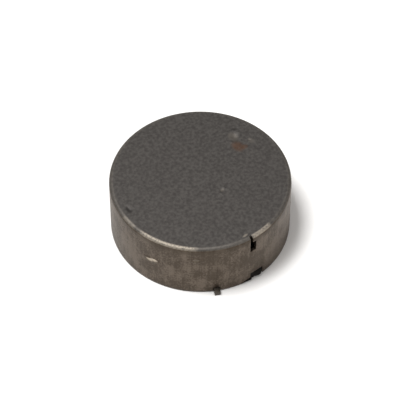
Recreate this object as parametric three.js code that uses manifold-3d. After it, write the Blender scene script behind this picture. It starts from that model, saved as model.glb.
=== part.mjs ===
// Coin vibration motor: a flat brushed motor whose lopsided rotor shakes its case.
// Millimetres, +Z up. The origin is the centre of the resting face of the base plate,
// +Z runs along the shaft towards the closed end of the case, and -Y faces the lead exit.

import * as THREE from 'three';
import { mergeVertices } from 'three/addons/utils/BufferGeometryUtils.js';
import Module from 'manifold-3d';

const wasm = await Module();
wasm.setup();

// Driving dimensions
const CASE_RADIUS = 5.0;
const CASE_HEIGHT = 3.7;
const SHEET = 0.2; // thickness of the drawn case
const RIM_FILLET = 0.2;
const SKIRT_LIFT = 0.05; // the case edge hangs this far above the resting face
const FIT = 0.02; // clearance between fitted pieces
const TOUCH = 0.01; // clearance between faces that bear on each other

const SHAFT_RADIUS = 0.4;
const SHAFT_FOOT = 0.02;
const SHAFT_TIP = 3.55;
const TIP_SOCKET_DEPTH = 0.08; // blind recess that centres the shaft tip under the case

const BASE_THICKNESS = 0.35;
const BASE_RECESS = { radius: 2.3, depth: 0.1, channelWidth: 1.9 };
const BOSS = { radius: 0.75, top: 1.2, foot: 0.2 };
const EAR = { width: 0.33, proud: 0.3, thickness: 0.3, angles: [-120, 0, 120] };

const SLIT = { width: 0.38, bottom: 2.55, top: 3.3, angle: -95.4 };
const SLIT_NECK = { width: 0.16, angle: -96.6 }; // runs from the slit up through the rim
const LEAD_EXIT = { width: 0.85, height: 0.62, angle: -92.2 };
const SEAL_PROUD = 0.1; // how far the lead seal stands out of the wall
const DENT = { x: 3.4, y: 1.05, sphere: 0.5, depth: 0.04 };

const MAGNET = { inner: 2.35, outer: 4.4, thickness: 0.95, bevel: 0.06 };
const FLEX = { radius: 2.2, hole: 1.0, thickness: 0.1, tongueWidth: 1.8, tongueReach: 4.7 };
const LAND = { x: 0.24, width: 0.3, inner: 4.46, outer: 4.7, height: 0.12 };

const BRUSH = { x: 1.07, width: 0.52, leaf: 0.06, rootY: -1.33, tipY: 1.0, overhang: 0.28, slot: 0.08 };
const BRUSH_FOOT = { x: 1.0, width: 0.64, back: -1.74, hole: 0.13 };
const WASHER = { thickness: 0.1, lowerRadius: 0.78, upperRadius: 1.1 };

const BEARING = { radius: 0.9, bottom: 1.34, top: 3.36, bevel: 0.06 };
const SEGMENT = { count: 6, inner: 1.0, outer: 1.9, thickness: 0.04, split: 0.12, bottom: 1.51 };
const BOARD = { radius: 4.5, hub: 2.05, bottom: 1.56, thickness: 0.25, overlap: 15 };
const COIL = { outer: 1.45, inner: 0.5, height: 1.1, pitch: 2.55, angles: [30, 150], facets: 40 };
const WEIGHT = { inner: 2.3, outer: 4.55, height: 1.4, halfSpan: 75 };
const RESIN = { radius: 4.45, hub: 1.25, height: 0.98, overlap: 14 };
const PIN = { radius: 0.16, y: 1.6 };
const PAD_JOINT = { radius: 0.2, height: 0.15, pitch: 1.65, angles: [-150, -110, -70, -30] };

const ROUND = 72; // facets round the case
const SMALL_ROUND = 30; // facets round the small turned pieces
const FINE_ABOVE = 2; // an arc of a larger radius takes the case's finer facets

// Levels worked out from the dimensions above
const CASE_INSIDE = CASE_HEIGHT - SHEET;
const BORE_RADIUS = CASE_RADIUS - SHEET;
const FLEX_BOTTOM = BASE_THICKNESS - BASE_RECESS.depth + TOUCH;
const FLEX_TOP = FLEX_BOTTOM + FLEX.thickness;
const MAGNET_BOTTOM = BASE_THICKNESS + FIT;
const LEAF_BOTTOM = FLEX_TOP + TOUCH;
const BOARD_TOP = BOARD.bottom + BOARD.thickness;
const ROTOR_DECK = BOARD_TOP + TOUCH; // pieces that stand on the rotor board start here

const radians = THREE.MathUtils.degToRad;

// ---- Shape helpers ----

/** Points on an arc in a profile, from one angle to another in degrees. */
function arc(centreX, centreY, radius, from, to, steps = 4) {
  const points = [];
  for (let i = 0; i <= steps; i++) {
    const angle = radians(from + ((to - from) * i) / steps);
    points.push([centreX + radius * Math.cos(angle), centreY + radius * Math.sin(angle)]);
  }
  return points;
}

/** A turned piece: an anticlockwise [radius, z] profile spun about Z. */
function turned(profile, facets = SMALL_ROUND) {
  const points = profile.map(([radius, z]) => new THREE.Vector2(radius, z));
  return new THREE.LatheGeometry(points, facets).rotateX(Math.PI / 2);
}

/** A flat ring with bevelled edges, given its radii and levels. */
function bevelledRing(inner, outer, bottom, top, bevel, facets) {
  const profile = [
    [inner + bevel, bottom],
    [outer - bevel, bottom],
    [outer, bottom + bevel],
    [outer, top - bevel],
    [outer - bevel, top],
    [inner + bevel, top],
    [inner, top - bevel],
    [inner, bottom + bevel],
    [inner + bevel, bottom],
  ];
  return turned(profile, facets);
}

/** A flat shape raised from one level by a thickness. */
function raised(shape, bottom, thickness) {
  const options = { depth: thickness, bevelEnabled: false };
  return new THREE.ExtrudeGeometry(shape, options).translate(0, 0, bottom);
}

/** A box given by its low and high corners. */
function block(low, high) {
  const size = high.map((value, i) => value - low[i]);
  const centre = high.map((value, i) => (value + low[i]) / 2);
  return new THREE.BoxGeometry(...size).translate(...centre);
}

/** A box that lies along a radius at an angle in degrees, as wide as given. */
function radialBlock(inner, outer, width, bottom, top, angle) {
  return block([inner, -width / 2, bottom], [outer, width / 2, top]).rotateZ(radians(angle));
}

/** An upright cylinder. */
function rod(radius, bottom, top, x = 0, y = 0, facets = SMALL_ROUND) {
  const geometry = new THREE.CylinderGeometry(radius, radius, top - bottom, facets);
  return geometry.rotateX(Math.PI / 2).translate(x, y, (top + bottom) / 2);
}

/** A low dome standing on a level, for a soldered joint. */
function dome(radius, height, x, y, bottom) {
  const profile = [[0, bottom], ...arc(0, bottom, radius, 0, 90, 5)].map(
    ([r, z]) => [r, bottom + ((z - bottom) * height) / radius],
  );
  profile[profile.length - 1][0] = 0;
  return turned(profile, 16).translate(x, y, 0);
}

/** The point at a radius and an angle in degrees. */
function polar(radius, angle) {
  return [radius * Math.cos(radians(angle)), radius * Math.sin(radians(angle))];
}

/** Points on an arc about the axis, from one angle to another in degrees. */
function sweep(radius, from, to) {
  const facet = radius > FINE_ABOVE ? 360 / ROUND : 360 / SMALL_ROUND;
  const steps = Math.max(2, Math.round(Math.abs(to - from) / facet));
  return arc(0, 0, radius, from, to, steps).map(([x, y]) => new THREE.Vector2(x, y));
}

/** A round hole about the axis. */
function roundHole(radius) {
  return new THREE.Path(sweep(radius, 360, 0).slice(1));
}

/** The outline of part of a ring between two angles in degrees. */
function ringSector(inner, outer, from, to) {
  return new THREE.Shape([...sweep(outer, from, to), ...sweep(inner, to, from)]);
}

/** A half-moon that overlaps its diameter by an angle, with a round hub and a centre hole. */
function halfMoon(radius, hub, overlap, hole) {
  const rim = sweep(radius, -overlap, 180 + overlap);
  const back = sweep(hub, 180 + overlap, 360 - overlap);
  const shape = new THREE.Shape([...rim, ...back]);
  shape.holes.push(roundHole(hole));
  return shape;
}

// ---- Joining and cutting ----

/** The welded positions and triangles of a geometry, without the empty triangles. */
function weld(geometry) {
  const bare = geometry.clone();
  bare.deleteAttribute('normal');
  bare.deleteAttribute('uv');
  const merged = mergeVertices(bare, 1e-4);
  const index = merged.index.array;
  const triangles = [];
  for (let i = 0; i < index.length; i += 3) {
    const [a, b, c] = index.slice(i, i + 3);
    if (a !== b && b !== c && c !== a) {
      triangles.push(a, b, c);
    }
  }
  return { positions: new Float32Array(merged.attributes.position.array), triangles };
}

/** A closed geometry as a manifold solid. */
function solid(geometry) {
  const { positions, triangles } = weld(geometry);
  const triVerts = new Uint32Array(triangles);
  return new wasm.Manifold(new wasm.Mesh({ numProp: 3, vertProperties: positions, triVerts }));
}

/** A manifold solid as a three.js geometry. */
function geometryOf(manifold) {
  const mesh = manifold.getMesh();
  const geometry = new THREE.BufferGeometry();
  geometry.setAttribute('position', new THREE.BufferAttribute(mesh.vertProperties, 3));
  geometry.setIndex(new THREE.BufferAttribute(mesh.triVerts, 1));
  return geometry;
}

/** A body with other bodies joined to it and then others cut from it. */
function shaped(body, { joined = [], cut = [] }) {
  let result = solid(body);
  for (const piece of joined) {
    result = result.add(solid(piece));
  }
  for (const piece of cut) {
    result = result.subtract(solid(piece));
  }
  return geometryOf(result);
}

// ---- Fixed pieces ----

/** The drawn case: a cup with a filleted rim, a slit in its wall and a notch for the leads. */
function caseCup() {
  const innerFillet = RIM_FILLET / 2;
  const profile = [
    [0, CASE_INSIDE + TIP_SOCKET_DEPTH],
    [SHAFT_RADIUS + FIT, CASE_INSIDE + TIP_SOCKET_DEPTH],
    [SHAFT_RADIUS + FIT, CASE_INSIDE],
    ...arc(BORE_RADIUS - innerFillet, CASE_INSIDE - innerFillet, innerFillet, 90, 0, 3),
    [BORE_RADIUS, SKIRT_LIFT],
    [CASE_RADIUS, SKIRT_LIFT],
    ...arc(CASE_RADIUS - RIM_FILLET, CASE_HEIGHT - RIM_FILLET, RIM_FILLET, 0, 90, 5),
    [0, CASE_HEIGHT],
  ];
  const past = 0.5; // how far a cutter runs past the wall
  const dent = new THREE.SphereGeometry(DENT.sphere, 24, 16).translate(
    DENT.x,
    DENT.y,
    CASE_HEIGHT + DENT.sphere - DENT.depth,
  );
  const earNotches = EAR.angles.map((angle) =>
    radialBlock(
      BORE_RADIUS - past,
      CASE_RADIUS + past,
      EAR.width + 2 * FIT,
      -past,
      EAR.thickness + FIT,
      angle,
    ),
  );
  const slit = radialBlock(
    BORE_RADIUS - past,
    CASE_RADIUS + past,
    SLIT.width,
    SLIT.bottom,
    SLIT.top,
    SLIT.angle,
  );
  const neck = radialBlock(
    BORE_RADIUS - TOUCH,
    CASE_RADIUS + past,
    SLIT_NECK.width,
    SLIT.top - TOUCH,
    CASE_HEIGHT + past,
    SLIT_NECK.angle,
  );
  const leadExit = radialBlock(
    BORE_RADIUS - past,
    CASE_RADIUS + past,
    LEAD_EXIT.width,
    -past,
    LEAD_EXIT.height,
    LEAD_EXIT.angle,
  );
  return shaped(turned(profile, ROUND), { cut: [slit, neck, leadExit, dent, ...earNotches] });
}

/** The plug of sealing compound that closes the lead notch. */
function leadSeal() {
  return radialBlock(
    BORE_RADIUS,
    CASE_RADIUS + SEAL_PROUD,
    LEAD_EXIT.width - 2 * FIT,
    SKIRT_LIFT,
    LEAD_EXIT.height - FIT,
    LEAD_EXIT.angle,
  );
}

/** The base plate: a disc with a burred boss, a recess for the flex circuit and three ears. */
function basePlate() {
  const floor = BASE_THICKNESS - BASE_RECESS.depth;
  const bore = SHAFT_RADIUS + TOUCH;
  const edge = 0.05;
  const radius = BORE_RADIUS - FIT;
  const profile = [
    [bore, 0],
    [radius - edge, 0],
    [radius, edge],
    [radius, BASE_THICKNESS],
    [BASE_RECESS.radius, BASE_THICKNESS],
    [BASE_RECESS.radius, floor],
    ...arc(BOSS.radius + BOSS.foot, floor + BOSS.foot, BOSS.foot, 270, 180, 4),
    [BOSS.radius, BOSS.top - edge],
    [BOSS.radius - edge, BOSS.top],
    [bore, BOSS.top],
    [bore, 0],
  ];
  const halfChannel = BASE_RECESS.channelWidth / 2;
  const channel = block(
    [-halfChannel, -CASE_RADIUS, floor],
    [halfChannel, -BASE_RECESS.radius * 0.8, BASE_THICKNESS + 1],
  );
  const ears = EAR.angles.map((angle) =>
    radialBlock(BORE_RADIUS - 0.4, CASE_RADIUS + EAR.proud, EAR.width, 0, EAR.thickness, angle),
  );
  return shaped(turned(profile, ROUND), { joined: ears, cut: [channel] });
}

/** The fixed steel shaft, with bevelled ends. */
function shaft() {
  const bevel = 0.06;
  return turned([
    [0, SHAFT_FOOT],
    [SHAFT_RADIUS - bevel, SHAFT_FOOT],
    [SHAFT_RADIUS, SHAFT_FOOT + bevel],
    [SHAFT_RADIUS, SHAFT_TIP - bevel],
    [SHAFT_RADIUS - bevel, SHAFT_TIP],
    [0, SHAFT_TIP],
  ]);
}

/** The flat ring magnet that stands on the base plate. */
function ringMagnet() {
  const top = MAGNET_BOTTOM + MAGNET.thickness;
  return bevelledRing(MAGNET.inner, MAGNET.outer, MAGNET_BOTTOM, top, MAGNET.bevel, ROUND);
}

/** The flex circuit: a disc round the boss with a tongue that reaches the lead exit. */
function flexCircuit() {
  const half = FLEX.tongueWidth / 2;
  const corner = THREE.MathUtils.radToDeg(Math.asin(half / FLEX.radius));
  const end = THREE.MathUtils.radToDeg(Math.asin(half / FLEX.tongueReach));
  const disc = sweep(FLEX.radius, -90 + corner, 270 - corner);
  const tongue = sweep(FLEX.tongueReach, -90 - end, -90 + end);
  const shape = new THREE.Shape([...disc, ...tongue]);
  shape.holes.push(roundHole(FLEX.hole));
  return raised(shape, FLEX_BOTTOM, FLEX.thickness);
}

/** The soldered land that a lead is joined to, on one side of the tongue. */
function leadLand(side) {
  const x = side * LAND.x;
  const half = LAND.width / 2;
  const bottom = FLEX_TOP + TOUCH;
  const bevel = 0.04;
  const shape = new THREE.Shape();
  shape.moveTo(x - half + bevel, -LAND.outer + bevel);
  shape.lineTo(x + half - bevel, -LAND.outer + bevel);
  shape.lineTo(x + half - bevel, -LAND.inner - bevel);
  shape.lineTo(x - half + bevel, -LAND.inner - bevel);
  shape.closePath();
  const options = {
    depth: LAND.height - 2 * bevel,
    bevelSize: bevel,
    bevelThickness: bevel,
    bevelSegments: 2,
  };
  return new THREE.ExtrudeGeometry(shape, options).translate(0, 0, bottom + bevel);
}

/** The foot of one brush leaf, with a hole that the solder rises through. */
function brushFoot(side) {
  const x = side * BRUSH_FOOT.x;
  const half = BRUSH_FOOT.width / 2;
  const front = BRUSH.rootY - TOUCH;
  const pad = block([x - half, BRUSH_FOOT.back, LEAF_BOTTOM], [x + half, front, LEAF_BOTTOM + BRUSH.leaf]);
  const middle = (BRUSH_FOOT.back + front) / 2;
  const hole = rod(BRUSH_FOOT.hole, 0, 1, x, middle, 24);
  return shaped(pad, { cut: [hole] });
}

/** The solder button that holds a brush foot down through its hole. */
function brushSolder(side) {
  const stem = BRUSH_FOOT.hole - FIT;
  const head = 0.2;
  const shoulder = LEAF_BOTTOM + BRUSH.leaf + TOUCH;
  const profile = [
    [0, LEAF_BOTTOM],
    [stem, LEAF_BOTTOM],
    [stem, shoulder],
    [head, shoulder],
    [head * 0.85, shoulder + 0.05],
    [head * 0.5, shoulder + 0.09],
    [0, shoulder + 0.1],
  ];
  const middle = (BRUSH_FOOT.back + BRUSH.rootY - TOUCH) / 2;
  return turned(profile, 24).translate(side * BRUSH_FOOT.x, middle, 0);
}

// ---- Brush leaves ----

/** The sprung arm of one brush: a bent leaf that rises to a rounded, forked tip. */
function brushArm(side) {
  const contact = SEGMENT.bottom - TOUCH - BRUSH.leaf / 2;
  const start = LEAF_BOTTOM + BRUSH.leaf / 2;
  const spine = new THREE.CatmullRomCurve3(
    [
      [BRUSH.rootY + TOUCH, start],
      [BRUSH.rootY + 0.3, start + 0.03],
      [0, (start + contact) / 2],
      [BRUSH.tipY - 0.25, contact - 0.09],
      [BRUSH.tipY, contact],
      [BRUSH.tipY + BRUSH.overhang, contact - 0.14],
    ].map(([y, z]) => new THREE.Vector3(0, y, z)),
  );
  const steps = 22;
  const upper = [];
  const lower = [];
  for (let i = 0; i <= steps; i++) {
    const point = spine.getPoint(i / steps);
    const along = spine.getTangent(i / steps);
    const offset = new THREE.Vector2(-along.z, along.y).multiplyScalar(BRUSH.leaf / 2);
    upper.push(new THREE.Vector2(point.y + offset.x, point.z + offset.y));
    lower.push(new THREE.Vector2(point.y - offset.x, point.z - offset.y));
  }
  const outline = new THREE.Shape([...lower, ...upper.reverse()]);
  const leaf = new THREE.ExtrudeGeometry(outline, { depth: BRUSH.width, bevelEnabled: false });
  // The outline is drawn in Y and Z, so its axes are turned from X, Y and Z to Y, Z and X.
  leaf.rotateY(Math.PI / 2).rotateX(Math.PI / 2).translate(side * BRUSH.x - BRUSH.width / 2, 0, 0);
  const slot = block(
    [side * BRUSH.x - BRUSH.slot / 2, 0, 0],
    [side * BRUSH.x + BRUSH.slot / 2, CASE_RADIUS, CASE_HEIGHT],
  );
  return shaped(leaf, { cut: [slot] });
}

/** A plain thrust washer that floats on the shaft. */
function thrustWasher(radius, bottom) {
  return bevelledRing(SHAFT_RADIUS + FIT, radius, bottom, bottom + WASHER.thickness, 0.01);
}

// ---- Rotor ----

/** The sintered sleeve that the rotor turns on. */
function sleeveBearing() {
  const { radius, bottom, top, bevel } = BEARING;
  return bevelledRing(SHAFT_RADIUS + FIT, radius, bottom, top, bevel);
}

/** The rotor board: a half-moon with a round hub that carries the commutator below it. */
function commutatorBoard() {
  const shape = halfMoon(BOARD.radius, BOARD.hub, BOARD.overlap, BEARING.radius + FIT);
  return raised(shape, BOARD.bottom, BOARD.thickness);
}

/** One plated commutator segment on the underside of the rotor board. */
function commutatorSegment(number) {
  const step = 360 / SEGMENT.count;
  const middle = 30 + step * number;
  const half = step / 2 - THREE.MathUtils.radToDeg(SEGMENT.split / (SEGMENT.inner + SEGMENT.outer));
  const shape = ringSector(SEGMENT.inner, SEGMENT.outer, middle - half, middle + half);
  return raised(shape, SEGMENT.bottom, SEGMENT.thickness);
}

/** One flat coil with rounded shoulders. */
function coil(angle) {
  const bottom = ROTOR_DECK + TOUCH;
  const top = bottom + COIL.height;
  const shoulder = 0.1;
  const [x, y] = polar(COIL.pitch, angle);
  const ring = bevelledRing(COIL.inner, COIL.outer, bottom, top, shoulder, COIL.facets);
  return ring.translate(x, y, 0);
}

/** Upright cylinders that clear both coils by a margin. */
function coilClearances(margin) {
  return COIL.angles.map((angle) => {
    const [x, y] = polar(COIL.pitch, angle);
    return rod(COIL.outer + margin, 0, CASE_HEIGHT, x, y, COIL.facets);
  });
}

/** The heavy weight: an arch at the rim, hollowed to clear both coils. */
function eccentricWeight(margin = 0) {
  const span = WEIGHT.halfSpan + THREE.MathUtils.radToDeg(margin / WEIGHT.outer);
  const shape = ringSector(WEIGHT.inner - margin, WEIGHT.outer + margin, 90 - span, 90 + span);
  const body = raised(shape, ROTOR_DECK + TOUCH - margin, WEIGHT.height + 2 * margin);
  return shaped(body, { cut: coilClearances(2 * FIT - margin) });
}

/** The moulded resin frame that grips the bearing, coils, weight and pin. */
function rotorFrame() {
  const shape = halfMoon(RESIN.radius, RESIN.hub, RESIN.overlap, BEARING.radius + FIT);
  const body = raised(shape, ROTOR_DECK, RESIN.height);
  const pinHole = rod(PIN.radius + FIT, 0, CASE_HEIGHT, 0, PIN.y, 24);
  return shaped(body, { cut: [eccentricWeight(FIT), pinHole, ...coilClearances(FIT)] });
}

/** The steel pin that the magnet pulls, so the rotor never parks on a dead spot. */
function detentPin() {
  return rod(PIN.radius, ROTOR_DECK + TOUCH, ROTOR_DECK + RESIN.height, 0, PIN.y, 24);
}

/** The soldered joint of one coil wire on the hub of the rotor board. */
function coilSolder(angle) {
  const [x, y] = polar(PAD_JOINT.pitch, angle);
  return dome(PAD_JOINT.radius, PAD_JOINT.height, x, y, ROTOR_DECK);
}

// ---- Finishes ----

/** A finish for one kind of material. */
function finish(color, roughness, metalness) {
  return new THREE.MeshStandardMaterial({ color, roughness, metalness });
}

const caseSteel = finish(0x7c7772, 0.42, 0.9);
const baseSteel = finish(0x4b4743, 0.42, 0.9);
const shaftSteel = finish(0xc9c8c4, 0.15, 1.0);
const magnetNickel = finish(0xb9b5ac, 0.3, 1.0);
const amberFilm = finish(0xb4661c, 0.4, 0.0);
const solderTin = finish(0xc4c6c6, 0.25, 1.0);
const brushAlloy = finish(0xd9a441, 0.28, 1.0);
const washerPolymer = finish(0xe6e2d6, 0.5, 0.0);
const sinteredBronze = finish(0xa9793f, 0.6, 0.9);
const boardLaminate = finish(0x1f5a3a, 0.45, 0.0);
const platedGold = finish(0xdcb55a, 0.2, 1.0);
const enamelledCopper = finish(0xb5562a, 0.3, 0.8);
const tungstenAlloy = finish(0x77777a, 0.45, 0.9);
const mouldedResin = finish(0x1d1c1b, 0.55, 0.0);
const sealingCompound = finish(0x0f0e0d, 0.5, 0.0);

// ---- Assembly ----

const group = new THREE.Group();

/** Adds one named piece to the motor. */
function place(name, geometry, material) {
  const mesh = new THREE.Mesh(geometry, material);
  mesh.name = name;
  group.add(mesh);
}

place('case_cup', caseCup(), caseSteel);
place('lead_seal', leadSeal(), sealingCompound);
place('base_plate', basePlate(), baseSteel);
place('shaft', shaft(), shaftSteel);
place('ring_magnet', ringMagnet(), magnetNickel);
place('brush_flex_circuit', flexCircuit(), amberFilm);
for (const [letter, side] of [['a', -1], ['b', 1]]) {
  place(`lead_land_${letter}`, leadLand(side), solderTin);
  place(`brush_foot_${letter}`, brushFoot(side), brushAlloy);
  place(`brush_solder_${letter}`, brushSolder(side), solderTin);
  place(`brush_arm_${letter}`, brushArm(side), brushAlloy);
}
place('lower_thrust_washer', thrustWasher(WASHER.lowerRadius, BOSS.top + TOUCH), washerPolymer);
place('upper_thrust_washer', thrustWasher(WASHER.upperRadius, BEARING.top + FIT), washerPolymer);
place('sleeve_bearing', sleeveBearing(), sinteredBronze);
place('commutator_board', commutatorBoard(), boardLaminate);
for (let number = 0; number < SEGMENT.count; number++) {
  place(`commutator_segment_${number + 1}`, commutatorSegment(number), platedGold);
}
place('coil_a', coil(COIL.angles[1]), enamelledCopper);
place('coil_b', coil(COIL.angles[0]), enamelledCopper);
place('eccentric_weight', eccentricWeight(), tungstenAlloy);
place('rotor_frame', rotorFrame(), mouldedResin);
place('detent_pin', detentPin(), shaftSteel);
PAD_JOINT.angles.forEach((angle, i) => {
  place(`coil_solder_${i + 1}`, coilSolder(angle), solderTin);
});

export default group;
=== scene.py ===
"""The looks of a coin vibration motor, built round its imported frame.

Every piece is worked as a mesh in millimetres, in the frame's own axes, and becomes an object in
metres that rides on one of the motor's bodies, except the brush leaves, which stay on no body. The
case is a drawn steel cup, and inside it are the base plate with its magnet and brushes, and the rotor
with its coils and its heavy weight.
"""

import logging
import math
from dataclasses import dataclass, field
from enum import Enum
from typing import Callable, Iterable, Sequence

import bmesh
import bpy
from mathutils import Matrix, Vector


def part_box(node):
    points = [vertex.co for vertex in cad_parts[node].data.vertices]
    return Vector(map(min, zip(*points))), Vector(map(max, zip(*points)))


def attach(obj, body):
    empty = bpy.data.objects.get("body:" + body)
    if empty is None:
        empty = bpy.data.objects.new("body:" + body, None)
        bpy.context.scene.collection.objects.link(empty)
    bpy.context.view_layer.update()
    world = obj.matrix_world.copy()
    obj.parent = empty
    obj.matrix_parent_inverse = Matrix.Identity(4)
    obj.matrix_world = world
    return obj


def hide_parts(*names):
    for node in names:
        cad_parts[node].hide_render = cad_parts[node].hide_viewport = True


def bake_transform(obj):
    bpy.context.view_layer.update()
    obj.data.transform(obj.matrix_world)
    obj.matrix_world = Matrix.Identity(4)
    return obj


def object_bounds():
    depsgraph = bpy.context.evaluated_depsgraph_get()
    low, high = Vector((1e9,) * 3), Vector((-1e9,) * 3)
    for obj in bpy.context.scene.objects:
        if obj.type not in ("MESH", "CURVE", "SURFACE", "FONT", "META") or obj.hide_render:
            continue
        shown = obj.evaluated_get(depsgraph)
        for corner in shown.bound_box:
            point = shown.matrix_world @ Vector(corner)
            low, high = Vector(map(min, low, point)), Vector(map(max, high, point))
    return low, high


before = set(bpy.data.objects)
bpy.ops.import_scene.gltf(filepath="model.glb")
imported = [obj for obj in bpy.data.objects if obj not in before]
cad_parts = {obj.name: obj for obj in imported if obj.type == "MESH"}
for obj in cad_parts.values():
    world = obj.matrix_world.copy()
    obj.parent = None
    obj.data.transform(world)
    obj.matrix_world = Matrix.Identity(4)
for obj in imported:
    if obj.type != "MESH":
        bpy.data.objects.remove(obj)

CAD_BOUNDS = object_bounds()

MM = 0.001
WELD = 1e-5  # vertices closer than this, in millimetres, become one
LOOSE_WELD = 1e-4  # the same, where faces that were made apart meet
FLAT = 1.0  # faces that meet at less than this angle, in degrees, lie in one plane
SHARP = 35.0  # edges whose faces meet at more than this angle, in degrees, are shaded sharp
UP = Vector((0.0, 0.0, 1.0))

Point2 = tuple[float, float]
RGB = tuple[float, float, float]
Socket = bpy.types.NodeSocket
Value = Socket | float
Looks = tuple[Socket, Socket, Socket]

log = logging.getLogger("coin_motor")


class Body(Enum):
    """The bodies of the frame that pieces ride on."""

    STATOR = "stator"
    ROTOR = "rotor"
    BRUSH_A = "brush_a"
    BRUSH_B = "brush_b"
    LOWER_WASHER = "lower_washer"
    UPPER_WASHER = "upper_washer"


class Slot(Enum):
    """The material slots of the frame's record."""

    CASE = "case_steel"
    BASE = "base_steel"
    GROUND = "ground_steel"
    MAGNET = "magnet_nickel"
    FILM = "amber_film"
    SOLDER = "solder_tin"
    BRUSH = "brush_alloy"
    WASHER = "washer_polymer"
    SINTER = "sintered_bronze"
    BOARD = "board_laminate"
    GOLD = "plated_gold"
    COPPER = "enamelled_copper"
    TUNGSTEN = "tungsten_alloy"
    RESIN = "moulded_resin"
    SEAL = "sealing_compound"


# ---- Places taken from the frame ----


@dataclass(frozen=True)
class Extent:
    """The box of one node of the frame, in millimetres."""

    low: Vector
    high: Vector

    @classmethod
    def of(cls, node: str) -> "Extent":
        """Reads the box of a node.

        Args:
            node: the node's name.

        Returns:
            Its extent at rest.
        """
        low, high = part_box(node)
        return cls(low / MM, high / MM)

    @property
    def centre(self) -> Vector:
        """The middle of the box."""
        return (self.low + self.high) / 2

    @property
    def radius(self) -> float:
        """Half the box's width along X."""
        return (self.high.x - self.low.x) / 2

    @property
    def bottom(self) -> float:
        """The lowest level."""
        return self.low.z

    @property
    def top(self) -> float:
        """The highest level."""
        return self.high.z


def polar(radius: float, degrees: float, z: float = 0.0) -> Vector:
    """Returns the point at a radius, an angle in degrees and a level."""
    angle = math.radians(degrees)
    return Vector((radius * math.cos(angle), radius * math.sin(angle), z))


# ---- Working a mesh ----


def rounded(corners: Sequence[tuple[float, float, float]], closed: bool, steps: int = 4) -> list[Point2]:
    """Rounds the corners of a profile.

    Args:
        corners: each corner's two coordinates and the radius that rounds it, 0 for sharp.
        closed: whether the last corner joins the first.
        steps: the number of chords in each rounded corner.

    Returns:
        The points of the rounded profile.
    """
    points: list[Point2] = []
    count = len(corners)
    for i, (x, y, radius) in enumerate(corners):
        here = Vector((x, y))
        is_end = not closed and i in (0, count - 1)
        if radius <= 0 or is_end:
            points.append((x, y))
            continue
        before = (Vector(corners[i - 1][:2]) - here).normalized()
        after = (Vector(corners[(i + 1) % count][:2]) - here).normalized()
        half = before.angle(after) / 2
        reach = radius / math.tan(half)
        centre = here + (before + after).normalized() * radius / math.sin(half)
        start = here + before * reach - centre
        turn = start.angle_signed(here + after * reach - centre)
        for k in range(steps + 1):
            arm = start.copy()
            arm.rotate(Matrix.Rotation(-turn * k / steps, 2))
            points.append(tuple(centre + arm))
    return points


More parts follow.
